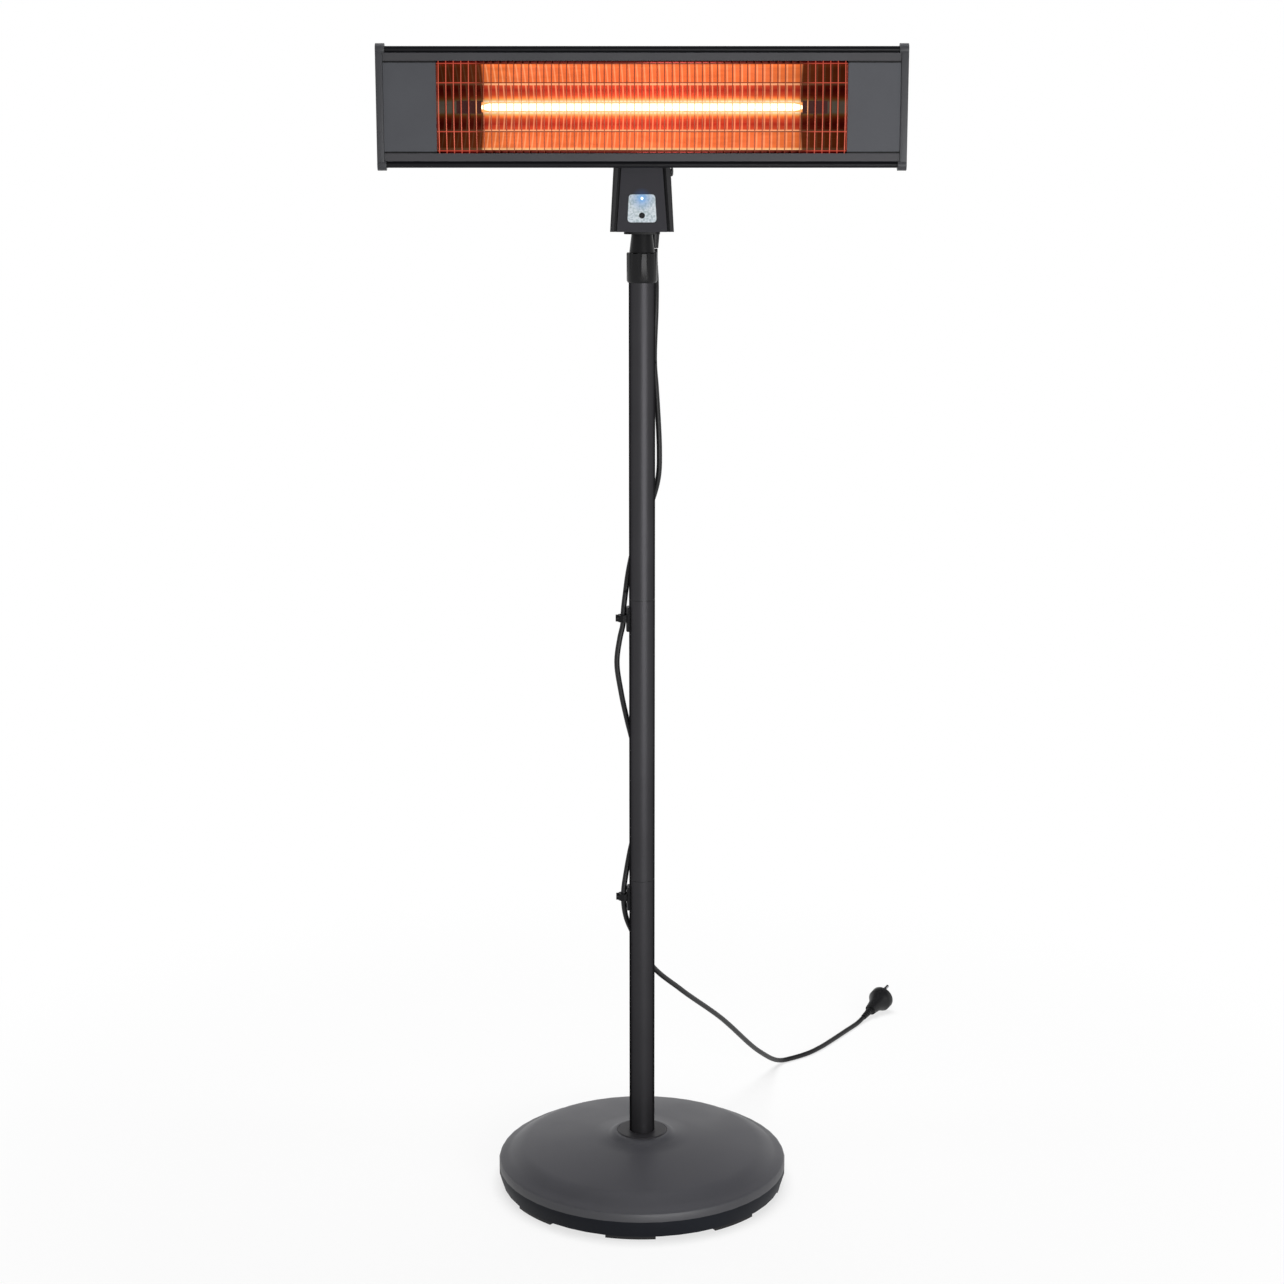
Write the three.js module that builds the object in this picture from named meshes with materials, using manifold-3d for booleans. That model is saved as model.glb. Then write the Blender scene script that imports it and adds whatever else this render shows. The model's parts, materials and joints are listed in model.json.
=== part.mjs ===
// Infrared patio heater tower: a radiant head that tilts on a control box, a telescopic mast,
// a three-piece pole and a weighted round base. Millimetres, +Z up, origin on the floor under
// the pole, the front of the heater towards -Y.

import * as THREE from 'three';
import { mergeVertices } from 'three/addons/utils/BufferGeometryUtils.js';
import Module from 'manifold-3d';

// ---------------------------------------------------------------- driving dimensions

const FIT_GAP = 0.3; // between pieces that sit in or against each other

// base
const BASE_RADIUS = 190;
const FOOT_HEIGHT = 4;
const FOOT_COUNT = 8;
const FOOT_WIDTH = 13;
const FOOT_INSET = 1;
const FOOT_ANGLE = 20; // degrees of the circle that one foot covers
const FOOT_TURN = -4.6; // degrees from the front to the middle of the first foot
const TRAY_HEIGHT = 21.5;
const TRAY_WALL = 3;
const TRAY_FLOOR = 2.5;
const TRAY_TAPER = 4.5; // how far the wall draws in towards the floor
const TRAY_TAPER_HEIGHT = 14;
const COVER_SHEET = 1.8;
const COVER_RIM_WIDTH = 10.5;
const COVER_RIM_SIDE = 7; // height of the rim's upright side
const COVER_RIM_ROUND = 6.3; // how far the rim rises from there over its round top
const SHOULDER_WIDTH = 26;
const SHOULDER_RISE = 13.2;
const SHOULDER_TURN = 80; // degrees that the shoulder's curve turns through
const DOME_RISE = 12.4;
const HUB_FOOT_RADIUS = 46;
const HUB_RISE = 5.1;
const HUB_RING_WIDTH = 4.5;
const HUB_RING_ROUND = 2.1;
// points of the hub's hollow side, as shares of its width and of its rise
const HUB_SIDE = [[0.45, 0.45], [0.1, 0.85]];
const HUB_FLANGE_RADIUS = 33;
const HUB_FLANGE_HEIGHT = 8;
const HUB_FLANGE_EDGE = 1.4;
const WEIGHT_RADIUS = 140;
const WEIGHT_HEIGHT = 20;
const WEIGHT_CHAMFER = 5;
const BOSS_RADIUS = 30;
const BOSS_HEIGHT = 34.4;
const STUD_RADIUS = 5;
const NUT_POCKET_RADIUS = 16;
const NUT_POCKET_DEPTH = 13;
const NUT_HEX_RADIUS = 9.8;
const NUT_HEX_HEIGHT = 8;
const NUT_FLANGE_RADIUS = 13;
const NUT_FLANGE_HEIGHT = 2;

// pole
const POLE_RADIUS = 16.5;
const POLE_WALL = 1.5;
const LOWER_TUBE_LENGTH = 356.9;
const MIDDLE_TUBE_LENGTH = 369.4;
const UPPER_TUBE_LENGTH = 404.2;
const JOINT_LINE = 1; // height of the coupler's collar between two tubes
const JOINT_RECESS = 0.5;
const COUPLER_REACH = 34;
const COUPLER_BORE = 9;
const FOOT_PLUG_LENGTH = 27;

// clamp and mast
const MAST_RADIUS = 11;
const MAST_WALL = 1.2;
const MAST_TRAVEL = 300;
const BUSH_HEIGHT = 20;
const BUSH_FLOOR = 4;
const STOP_GAP = 2;
const SLEEVE_DEPTH = 28;
const SLEEVE_COLLAR_HEIGHT = 2;
const SLEEVE_HEIGHT = 23;
const SLEEVE_CONE_HEIGHT = 8;
const SLEEVE_RADIUS = 14.8;
const SLEEVE_TIP_RADIUS = 12.8;
const SLEEVE_SLOT = 2;
const LOCK_NUT_RADIUS = 19;
const LOCK_NUT_HEIGHT = 36.6;
const LOCK_NUT_SKIRT = 6.3; // how far the nut reaches down over the upper tube
const LOCK_NUT_CHAMFER = 2.5;
const LOCK_NUT_LIP = 4;
const LOCK_NUT_EDGE = 0.8;
const SPIN_GAP = 0.4; // between the nut and the mast that passes through it
const FLUTE_COUNT = 10;
const FLUTE_RADIUS = 4.5;
const FLUTE_DEPTH = 1.7;
const NECK_HEIGHT = 22.5;
const NECK_LOW_RADIUS = 15.7;
const NECK_TOP_RADIUS = 13;
const NECK_FLANGE_WIDTH = 44.4;
const NECK_FLANGE_DEPTH = 32;
const NECK_FLANGE_HEIGHT = 3.2;
const NECK_FLANGE_CORNER = 7;
const NECK_SPIGOT_RADIUS = 14;
const NECK_SPIGOT_HEIGHT = 11;

// control box
const BOX_HEIGHT = 81;
const BOX_FRONT = -24;
const BOX_DEPTH = 58;
const BOX_BOTTOM_WIDTH = 78;
const BOX_TOP_WIDTH = 69.2;
const BOX_WALL = 3;
const BOX_EDGE = 1.6;
const COVER_BOTTOM_WIDTH = 61.4;
const COVER_TOP_WIDTH = 49.4;
const COVER_THICKNESS = 2.5;
const COVER_GROOVE = 1.8;
const COVER_LEDGE = 2;
const PLATE_HEIGHT = 33.6;
const PLATE_BOTTOM_WIDTH = 35.6;
const PLATE_TOP_WIDTH = 31.8;
const PLATE_CORNER = 4;
const PLATE_THICKNESS = 0.8;
const PLATE_ABOVE_BOTTOM = 11.7;
const BUTTON_RADIUS = 3.35;
const BUTTON_ABOVE_BOTTOM = 20;
const BUTTON_PROUD = 1.2;
const BUTTON_TRAVEL = 1;
const BUTTON_FLANGE = 1.2;
const BUTTON_EDGE = 0.5;
const LED_RADIUS = 1.7;
const LED_ABOVE_BOTTOM = 40.4;
const LED_PROUD = 0.3;
const BOARD_WIDTH = 42;
const BOARD_HEIGHT = 44;
const BOARD_THICKNESS = 1.6;
const BOARD_ABOVE_BOTTOM = 10;
const BOARD_SETBACK = 4.2; // from the back of the cover to the front of the board
const BOARD_PEG_RADIUS = 2.2;
const BOARD_PEG_INSET = 5;
const SWITCH_SIZE = 7;
const GLAND_X = 16;
const GLAND_Y = 25;
const GLAND_TIP_RADIUS = 4.3;
const GLAND_ROOT_RADIUS = 6;
const GLAND_BOOT_LENGTH = 20;
const GLAND_FLANGE_RADIUS = 7.5;
const GLAND_FLANGE_HEIGHT = 2;
const GLAND_NECK_RADIUS = 4.5;
const GLAND_COLLAR_RADIUS = 5.6;
const GLAND_COLLAR_HEIGHT = 2.2;

// tilt hinge
const HINGE_Y = 6;
const HINGE_BELOW_BOX_TOP = 9;
const HINGE_BOLT_RADIUS = 3;
const HINGE_HEAD_RADIUS = 6;
const HINGE_HEAD_HEIGHT = 3;
const HINGE_HEAD_SIDE = 1.5;
const HINGE_HEAD_CROWN = 1.2;
const HINGE_CROWN_RADIUS = 4.2;
const HINGE_NUT_RADIUS = 5.8;
const HINGE_NUT_HEIGHT = 4.2;
const HINGE_POCKET_DEPTH = 5;
const BARREL_RADIUS = 9;
const BARREL_CLEARANCE = 1.5;
const ARM_WIDTH = 28;
const BRACKET_WIDTH = 56;
const BRACKET_THICKNESS = 3;
const ARM_FRONT_REACH = 6.3; // from the hinge to the arm's front and rear edge at the barrel
const ARM_REAR_REACH = 8.1;
const BRACKET_UP_REAR = 26; // how far the bracket climbs the rear wall from the corner
const BRACKET_UNDER = 18; // how far it runs forward under the slanted wall
const BRACKET_SCREW_SPACING = 40;
const BRACKET_SCREW_RADIUS = 2;
const BRACKET_SCREW_HEAD_RADIUS = 4;
const BRACKET_SCREW_HEAD_HEIGHT = 2.4;
const BRACKET_SCREW_CROWN_RADIUS = 3.2;
const BRACKET_SCREW_LENGTH = 9;

// head, in its own frame: back from the front face, up from the middle
const HEAD_WIDTH = 634;
const HEAD_FRONT = -64;
const HEAD_ABOVE_BOX = 68; // from the top of the box to the middle of the head
const HEAD_DEPTH = 76;
const HEAD_WALL = 1.8;
const LIP_OUTER = 63.4;
const LIP_INNER = 54;
const LIP_THICKNESS = 2.2;
const BEAD_RADIUS = 3.9;
const BEAD_UP = 67.3;
const BEAD_BACK = 5;
const WALL_FRONT_BACK = 10;
const WALL_FRONT_UP = 69;
const WALL_REAR_BACK = 66;
const WALL_REAR_UP = 38;
const REAR_CORNER = 8;
const CAP_THICKNESS = 8.4;
const CAP_OVERHANG = 1.5;
const CAP_KNOB_RADIUS = 7.2;
const CAP_KNOB_REACH = 2.4;
const CAP_SCREW_RADIUS = 1.3;
const CAP_SCREW_HEAD_RADIUS = 3.2;
const CAP_SCREW_HEAD_HEIGHT = 2;
const CAP_SCREW_LENGTH = 20;
const CAP_SCREW_PORT = 1.6;
const CAP_SCREW_PORT_DEPTH = 24;
const PANEL_WIDTH = 63.2;
const PANEL_HALF_HEIGHT = 51.8;
const PANEL_SETBACK = 0.4;
const PANEL_TAB = 4;
const PANEL_THICKNESS = 1.5;
const WIRE_SIZE = 1.6;
const WIRE_COUNT = 55;
const WIRE_BOW = 5;
const GRILLE_EDGE_UP = 51;
const GRILLE_MIDDLE_UP = 28.5;
const WIRE_TAIL = 6;
const WIRE_TAIL_EVERY = 3; // one upright in three reaches behind the lips
const WIRE_END = 1.5; // the long wires stand out past the last upright
const REFLECTOR_SHEET = 1;
const REFLECTOR_MOUTH = 50;
const REFLECTOR_DEPTH = 39;
const REFLECTOR_FLANGE = 7;
const LAMP_RADIUS = 6;
const LAMP_GLASS = 1.3;
const LAMP_LENGTH = 400;
const LAMP_BACK = 22;
const FILAMENT_RADIUS = 1.5;
const CERAMIC_LENGTH = 30;
const CERAMIC_SIZE = 15;
const CERAMIC_SOCKET = 8;
const HOLDER_THICKNESS = 1.5;
const HOLDER_WIDTH = 26;
const TERMINAL_WIDTH = 44;
const TERMINAL_HEIGHT = 22;
const TERMINAL_DEPTH = 16;
const TERMINAL_X = 60;

// cable clips and cord
const CORD_RADIUS = 3.5;
const CLIP_HEIGHT = 31;
const CLIP_ANGLE = 50;
const CLIP_THICKNESS = 3.4;
const CLIP_JAW_RADIUS = 7.2;
const CLIP_JAW_BORE = 5;
const CLIP_JAW_HEIGHT = 9;
const CLIP_MOUTH = 5;
const CLIP_KNOB_RADIUS = 4.6;
const CLIP_KNOB_LENGTH = 6;
const CLIP_X = -23.9;
const CLIP_Y = 4.5;
const CLIP_BELOW_JOINT = 25.3;
const PLUG_RADIUS = 18.5;
const PLUG_FACE_LENGTH = 14;
const PLUG_GRIP_LENGTH = 30;
const PLUG_GRIP_RADIUS = 9;
const PLUG_WAIST_RADIUS = 11;
const PLUG_WAIST = 18; // from the start of the grip to its waist
const PLUG_EDGE = 1;
const PLUG_BOOT_LENGTH = 22;
const PLUG_BOOT_TIP_RADIUS = 4.3;
const PLUG_BOOT_ROOT_RADIUS = 6;
const PLUG_PIN_RADIUS = 2.4;
const PLUG_PIN_LENGTH = 19;
const PLUG_PIN_SPACING = 19;
const PLUG_HEADING = 57; // degrees from +X, the way that the pins point
const PLUG_TAIL_UP = 7; // the plug's tail above the floor, which its face end rests on
const CORD_STEPS = 80;
const CORD_SIDES = 8;

// facets of round pieces
const BASE_SIDES = 48;
const TUBE_SIDES = 24;
const SMALL_SIDES = 16;

// ---------------------------------------------------------------- heights that follow

const TRAY_BOTTOM = FOOT_HEIGHT;
const TRAY_INSIDE = TRAY_BOTTOM + TRAY_FLOOR;
const TRAY_BOTTOM_RADIUS = BASE_RADIUS - TRAY_TAPER;
const RIM_BOTTOM = TRAY_BOTTOM + TRAY_HEIGHT;
const RIM_SIDE_TOP = RIM_BOTTOM + COVER_RIM_SIDE;
const RIM_TOP = RIM_SIDE_TOP + COVER_RIM_ROUND;
const SHOULDER_TOP = RIM_TOP + SHOULDER_RISE;
const DOME_TOP = SHOULDER_TOP + DOME_RISE;
const WEIGHT_TOP = TRAY_INSIDE + WEIGHT_HEIGHT;
const BOSS_TOP = WEIGHT_TOP + BOSS_HEIGHT;
const SEAT_TOP = BOSS_TOP + COVER_SHEET;
const LOWER_JOINT = BOSS_TOP + LOWER_TUBE_LENGTH;
const MIDDLE_TUBE_BOTTOM = LOWER_JOINT + JOINT_LINE;
const UPPER_JOINT = MIDDLE_TUBE_BOTTOM + MIDDLE_TUBE_LENGTH;
const UPPER_TUBE_BOTTOM = UPPER_JOINT + JOINT_LINE;
const POLE_TOP = UPPER_TUBE_BOTTOM + UPPER_TUBE_LENGTH;
const LOCK_NUT_BOTTOM = POLE_TOP - LOCK_NUT_SKIRT;
const LOCK_NUT_TOP = LOCK_NUT_BOTTOM + LOCK_NUT_HEIGHT;
const NECK_BOTTOM = LOCK_NUT_TOP + FIT_GAP;
const NECK_FLANGE_BOTTOM = NECK_BOTTOM + NECK_HEIGHT;
const BOX_BOTTOM = NECK_FLANGE_BOTTOM + NECK_FLANGE_HEIGHT;
const BOX_TOP = BOX_BOTTOM + BOX_HEIGHT;
const BOX_REAR = BOX_FRONT + BOX_DEPTH;
const HINGE_Z = BOX_TOP - HINGE_BELOW_BOX_TOP;
const HEAD_MIDDLE = BOX_TOP + HEAD_ABOVE_BOX;
const POLE_BORE = POLE_RADIUS - POLE_WALL;
const MAST_BORE_FIT = MAST_RADIUS + FIT_GAP;
const CAP_INSIDE = HEAD_WIDTH / 2 - CAP_THICKNESS;
const HOUSING_HALF = CAP_INSIDE - FIT_GAP;
const OPENING_HALF = HOUSING_HALF - PANEL_WIDTH;

// ---------------------------------------------------------------- solids

const wasm = await Module();
wasm.setup();

const MERGE_DISTANCE = 1e-4;

function toSolid(geometry) {
  const bare = geometry.clone();
  bare.deleteAttribute('normal');
  bare.deleteAttribute('uv');
  const merged = mergeVertices(bare, MERGE_DISTANCE);
  const index = merged.index.array;
  const triangles = [];
  for (let i = 0; i < index.length; i += 3) {
    const [a, b, c] = [index[i], index[i + 1], index[i + 2]];
    if (a !== b && b !== c && c !== a) triangles.push(a, b, c);
  }
  return new wasm.Manifold(new wasm.Mesh({
    numProp: 3,
    vertProperties: Float32Array.from(merged.attributes.position.array),
    triVerts: Uint32Array.from(triangles),
  }));
}

function toGeometry(solid) {
  const mesh = solid.getMesh();
  const geometry = new THREE.BufferGeometry();
  geometry.setAttribute('position', new THREE.BufferAttribute(mesh.vertProperties, 3));
  geometry.setIndex(new THREE.BufferAttribute(mesh.triVerts, 1));
  geometry.computeVertexNormals();
  return geometry;
}

// the first geometry with the rest joined to it
function join(first, ...rest) {
  let solid = toSolid(first);
  for (const geometry of rest) solid = solid.add(toSolid(geometry));
  return toGeometry(solid);
}

// the first geometry with the rest cut out of it
function cut(first, ...tools) {
  let solid = toSolid(first);
  for (const geometry of tools) solid = solid.subtract(toSolid(geometry));
  return toGeometry(solid);
}

// a profile of [radius, height] points turned about the Z axis, anticlockwise seen with
// the axis on the left
function turned(profile, sides = TUBE_SIDES) {
  const points = profile.map(([radius, height]) => new THREE.Vector2(radius, height));
  return new THREE.LatheGeometry(points, sides).rotateX(Math.PI / 2);
}

function closed(profile) {
  return [...profile, profile[0]];
}

function ring(innerRadius, outerRadius, bottom, top, sides = TUBE_SIDES) {
  return turned(closed([
    [innerRadius, bottom],
    [outerRadius, bottom],
    [outerRadius, top],
    [innerRadius, top],
  ]), sides);
}

function rod(radius, bottom, top, sides = SMALL_SIDES) {
  return turned([[0, bottom], [radius, bottom], [radius, top], [0, top]], sides);
}

// a turned piece laid along +X or along +Y
function alongX(geometry) {
  return geometry.rotateY(Math.PI / 2);
}

function alongY(geometry) {
  return geometry.rotateX(-Math.PI / 2);
}

function block(x0, x1, y0, y1, z0, z1) {
  return new THREE.BoxGeometry(x1 - x0, y1 - y0, z1 - z0)
    .translate((x0 + x1) / 2, (y0 + y1) / 2, (z0 + z1) / 2);
}

function shapeOf(points) {
  return new THREE.Shape(points.map(([x, y]) => new THREE.Vector2(x, y)));
}

function extrude(shape, depth, sides = SMALL_SIDES) {
  return new THREE.ExtrudeGeometry(shape, { depth, bevelEnabled: false, curveSegments: sides });
}

// an outline of [y, z] points extruded from x0 to x1
function extrudeX(points, x0, x1) {
  const axes = new THREE.Matrix4().makeBasis(
    new THREE.Vector3(0, 1, 0),
    new THREE.Vector3(0, 0, 1),
    new THREE.Vector3(1, 0, 0),
  );
  return extrude(shapeOf(points), x1 - x0).applyMatrix4(axes).translate(x0, 0, 0);
}

// a shape drawn in x and z extruded from y0 back to y1
function extrudeY(shape, y0, y1) {
  return extrude(shape, y1 - y0).rotateX(Math.PI / 2).translate(0, y1, 0);
}

// an outline moved outwards by a distance; the outline runs anticlockwise
function offsetOutline(points, distance) {
  return points.map((point, i) => {
    const before = points[(i + points.length - 1) % points.length];
    const after = points[(i + 1) % points.length];
    const a = new THREE.Vector2(point[0] - before[0], point[1] - before[1]).normalize();
    const b = new THREE.Vector2(after[0] - point[0], after[1] - point[1]).normalize();
    const bisector = new THREE.Vector2(a.y + b.y, -a.x - b.x).normalize();
    const reach = distance / Math.max(bisector.x * a.y - bisector.y * a.x, 0.4);
    return [point[0] + bisector.x * reach, point[1] + bisector.y * reach];
  });
}

function arcPoints(x, y, radius, from, to, steps) {
  return Array.from({ length: steps + 1 }, (_, i) => {
    const angle = THREE.MathUtils.degToRad(from + ((to - from) * i) / steps);
    return [x + radius * Math.cos(angle), y + radius * Math.sin(angle)];
  });
}

// an upright four-sided outline with a bottom and a top width and round corners
function taperedOutline(bottomWidth, topWidth, bottom, top, corner = 0) {
  const lean = (bottomWidth - topWidth) / 2 / (top - bottom);
  const halfAt = (z) => bottomWidth / 2 - lean * (z - bottom);
  if (corner === 0) {
    return [
      [-halfAt(bottom), bottom],
      [halfAt(bottom), bottom],
      [halfAt(top), top],
      [-halfAt(top), top],
    ];
  }
  const low = halfAt(bottom + corner) - corner;
  const high = halfAt(top - corner) - corner;
  return [
    ...arcPoints(-low, bottom + corner, corner, 180, 270, 4),
    ...arcPoints(low, bottom + corner, corner, 270, 360, 4),
    ...arcPoints(high, top - corner, corner, 0, 90, 4),
    ...arcPoints(-high, top - corner, corner, 90, 180, 4),
  ];
}

function roundHole(shape, x, y, radius) {
  shape.holes.push(new THREE.Path().absarc(x, y, radius, 0, 2 * Math.PI, true));
}

// ---------------------------------------------------------------- scene graph

const MATERIALS = {
  powderCoat: new THREE.MeshStandardMaterial({ color: 0x3c3c3f, roughness: 0.55, metalness: 0.3 }),
  baseCoat: new THREE.MeshStandardMaterial({ color: 0x4a4b4f, roughness: 0.5, metalness: 0.3 }),
  anodised: new THREE.MeshStandardMaterial({ color: 0x55565b, roughness: 0.45, metalness: 0.6 }),
  panel: new THREE.MeshStandardMaterial({ color: 0x4b4d51, roughness: 0.6, metalness: 0.4 }),
  blackPlastic: new THREE.MeshStandardMaterial({ color: 0x1b1b1e, roughness: 0.5, metalness: 0 }),
  boxPlastic: new THREE.MeshStandardMaterial({ color: 0x3b3a3c, roughness: 0.55, metalness: 0 }),
  rubber: new THREE.MeshStandardMaterial({ color: 0x151517, roughness: 0.8, metalness: 0 }),
  castIron: new THREE.MeshStandardMaterial({ color: 0x3a3a3a, roughness: 0.8, metalness: 0.6 }),
  steel: new THREE.MeshStandardMaterial({ color: 0x9a9ca0, roughness: 0.35, metalness: 1 }),
  blackSteel: new THREE.MeshStandardMaterial({ color: 0x242427, roughness: 0.4, metalness: 0.7 }),
  reflector: new THREE.MeshStandardMaterial({ color: 0xd9c7b4, roughness: 0.15, metalness: 1 }),
  quartz: new THREE.MeshStandardMaterial({ color: 0xffe9c8, roughness: 0.05, metalness: 0 }),
  filament: new THREE.MeshStandardMaterial({
    color: 0xffd9a0,
    emissive: 0xff7a1e,
    roughness: 0.6,
    metalness: 0,
  }),
  ceramic: new THREE.MeshStandardMaterial({ color: 0xe6e0d4, roughness: 0.6, metalness: 0 }),
  silver: new THREE.MeshStandardMaterial({ color: 0xb9bfc9, roughness: 0.4, metalness: 0.5 }),
  led: new THREE.MeshStandardMaterial({ color: 0x9fd0ff, emissive: 0x2a7fff, roughness: 0.2 }),
  board: new THREE.MeshStandardMaterial({ color: 0x1f5a35, roughness: 0.6, metalness: 0 }),
};

const tower = new THREE.Group();

function add(group, name, geometry, material) {
  const mesh = new THREE.Mesh(geometry, material);
  mesh.name = name;
  group.add(mesh);
  return mesh;
}

function groupAt(parent, x, y, z) {
  const group = new THREE.Group();
  group.position.set(x, y, z);
  parent.add(group);
  return group;
}

// ---------------------------------------------------------------- base

// the height of the cover's outer face over the shoulder and the dome
function coverHeight(radius) {
  const shoulderOuter = BASE_RADIUS - COVER_RIM_WIDTH;
  const shoulderInner = shoulderOuter - SHOULDER_WIDTH;
  if (radius >= shoulderInner) {
    const turn = THREE.MathUtils.degToRad(SHOULDER_TURN);
    const across = (shoulderOuter - radius) / SHOULDER_WIDTH;
    return RIM_TOP + (SHOULDER_RISE * Math.sin(turn * across)) / Math.sin(turn);
  }
  const fall = (radius / shoulderInner) ** 2;
  const fallAtHub = (HUB_FOOT_RADIUS / shoulderInner) ** 2;
  return SHOULDER_TOP + (DOME_RISE * (1 - fall)) / (1 - fallAtHub);
}

function baseCoverProfile() {
  const shoulderOuter = BASE_RADIUS - COVER_RIM_WIDTH;
  const shoulderInner = shoulderOuter - SHOULDER_WIDTH;
  const radii = [];
  const steps = 5;
  for (let i = 0; i <= steps; i += 1) radii.push(shoulderOuter - (SHOULDER_WIDTH * i) / steps);
  for (let i = 1; i <= steps; i += 1) {
    radii.push(shoulderInner - ((shoulderInner - HUB_FOOT_RADIUS) * i) / steps);
  }
  const pocket = HUB_FLANGE_RADIUS + FIT_GAP;
  const ringOuter = pocket + HUB_RING_WIDTH;
  const ringTop = DOME_TOP + HUB_RISE;
  const hole = POLE_RADIUS + FIT_GAP;
  const hubWall = pocket + COVER_SHEET;
  const slope = HUB_FOOT_RADIUS - ringOuter;
  const rimInner = BASE_RADIUS - TRAY_WALL;
  const rimRound = [30, 60].map((degrees) => {
    const angle = THREE.MathUtils.degToRad(degrees);
    return [
      shoulderOuter + COVER_RIM_WIDTH * Math.cos(angle),
      RIM_SIDE_TOP + COVER_RIM_ROUND * Math.sin(angle),
    ];
  });
  const outside = [
    [BASE_RADIUS, RIM_BOTTOM],
    [BASE_RADIUS, RIM_SIDE_TOP],
    ...rimRound,
    ...radii.map((radius) => [radius, coverHeight(radius)]),
    ...HUB_SIDE.map(([across, up]) => [ringOuter + slope * across, DOME_TOP + HUB_RISE * up]),
    [ringOuter - HUB_RING_ROUND, ringTop],
    [pocket, ringTop],
    [pocket, SEAT_TOP],
    [hole, SEAT_TOP],
  ];
  const inside = [
    [hole, BOSS_TOP],
    [hubWall, BOSS_TOP],
    [hubWall, ringTop - COVER_SHEET],
    [ringOuter - COVER_SHEET, ringTop - COVER_SHEET],
    [HUB_FOOT_RADIUS - COVER_SHEET, DOME_TOP - COVER_SHEET],
    ...radii.filter((_, i) => i % 2 === 0).reverse()
      .map((radius) => [radius, coverHeight(radius) - COVER_SHEET]),
    [rimInner, RIM_SIDE_TOP],
    [rimInner, RIM_BOTTOM],
  ];
  return closed([...outside, ...inside]);
}

function weightProfile() {
  const hole = STUD_RADIUS + FIT_GAP;
  const pocketTop = TRAY_INSIDE + NUT_POCKET_DEPTH;
  return closed([
    [hole, pocketTop],
    [NUT_POCKET_RADIUS, pocketTop],
    [NUT_POCKET_RADIUS, TRAY_INSIDE],
    [WEIGHT_RADIUS, TRAY_INSIDE],
    [WEIGHT_RADIUS, WEIGHT_TOP - WEIGHT_CHAMFER],
    [WEIGHT_RADIUS - WEIGHT_CHAMFER, WEIGHT_TOP],
    [BOSS_RADIUS + WEIGHT_CHAMFER, WEIGHT_TOP],
    [BOSS_RADIUS, WEIGHT_TOP + WEIGHT_CHAMFER],
    [BOSS_RADIUS, BOSS_TOP],
    [hole, BOSS_TOP],
  ]);
}

function footGeometry() {
  const outer = TRAY_BOTTOM_RADIUS - FOOT_INSET;
  const half = FOOT_ANGLE / 2;
  const outline = [
    ...arcPoints(0, 0, outer, -90 - half, -90 + half, 6),
    ...arcPoints(0, 0, outer - FOOT_WIDTH, -90 + half, -90 - half, 6),
  ];
  return extrude(shapeOf(outline), FOOT_HEIGHT);
}

function flangedNut() {
  const top = TRAY_INSIDE + NUT_POCKET_DEPTH;
  const flangeBottom = top - NUT_FLANGE_HEIGHT;
  const hole = STUD_RADIUS + FIT_GAP;
  const hexagon = ring(hole, NUT_HEX_RADIUS, flangeBottom - NUT_HEX_HEIGHT, flangeBottom, 6);
  const bore = rod(hole, flangeBottom - NUT_HEX_HEIGHT - 1, top + 1);
  return cut(join(hexagon, ring(hole - 1, NUT_FLANGE_RADIUS, flangeBottom, top)), bore);
}

function addBase(group) {
  add(group, 'base_cover', turned(baseCoverProfile(), BASE_SIDES), MATERIALS.baseCoat);
  add(group, 'base_weight', turned(weightProfile()), MATERIALS.castIron);

  const inner = BASE_RADIUS - TRAY_WALL;
  add(group, 'base_tray', turned([
    [0, TRAY_BOTTOM],
    [TRAY_BOTTOM_RADIUS, TRAY_BOTTOM],
    [BASE_RADIUS, TRAY_BOTTOM + TRAY_TAPER_HEIGHT],
    [BASE_RADIUS, RIM_BOTTOM],
    [inner, RIM_BOTTOM],
    [inner, TRAY_BOTTOM + TRAY_TAPER_HEIGHT],
    [inner - TRAY_TAPER, TRAY_INSIDE],
    [0, TRAY_INSIDE],
  ], BASE_SIDES), MATERIALS.blackPlastic);

  for (let i = 0; i < FOOT_COUNT; i += 1) {
    const foot = add(group, `base_foot_${i + 1}`, footGeometry(), MATERIALS.rubber);
    foot.rotation.z = THREE.MathUtils.degToRad(FOOT_TURN + (360 / FOOT_COUNT) * i);
  }

  const flangeTop = SEAT_TOP + HUB_FLANGE_HEIGHT;
  add(group, 'hub_flange', turned(closed([
    [POLE_RADIUS + FIT_GAP, SEAT_TOP],
    [HUB_FLANGE_RADIUS, SEAT_TOP],
    [HUB_FLANGE_RADIUS, flangeTop - HUB_FLANGE_EDGE],
    [HUB_FLANGE_RADIUS - HUB_FLANGE_EDGE, flangeTop],
    [POLE_RADIUS + FIT_GAP, flangeTop],
  ])), MATERIALS.baseCoat);

  const plugRadius = POLE_BORE - FIT_GAP;
  const studBottom = TRAY_INSIDE + NUT_POCKET_DEPTH - NUT_FLANGE_HEIGHT - NUT_HEX_HEIGHT;
  add(group, 'pole_foot_plug', turned([
    [0, studBottom],
    [STUD_RADIUS, studBottom],
    [STUD_RADIUS, BOSS_TOP],
    [plugRadius, BOSS_TOP],
    [plugRadius, BOSS_TOP + FOOT_PLUG_LENGTH],
    [0, BOSS_TOP + FOOT_PLUG_LENGTH],
  ]), MATERIALS.steel);
  add(group, 'stud_nut', flangedNut(), MATERIALS.steel);
}

// ---------------------------------------------------------------- pole

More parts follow.
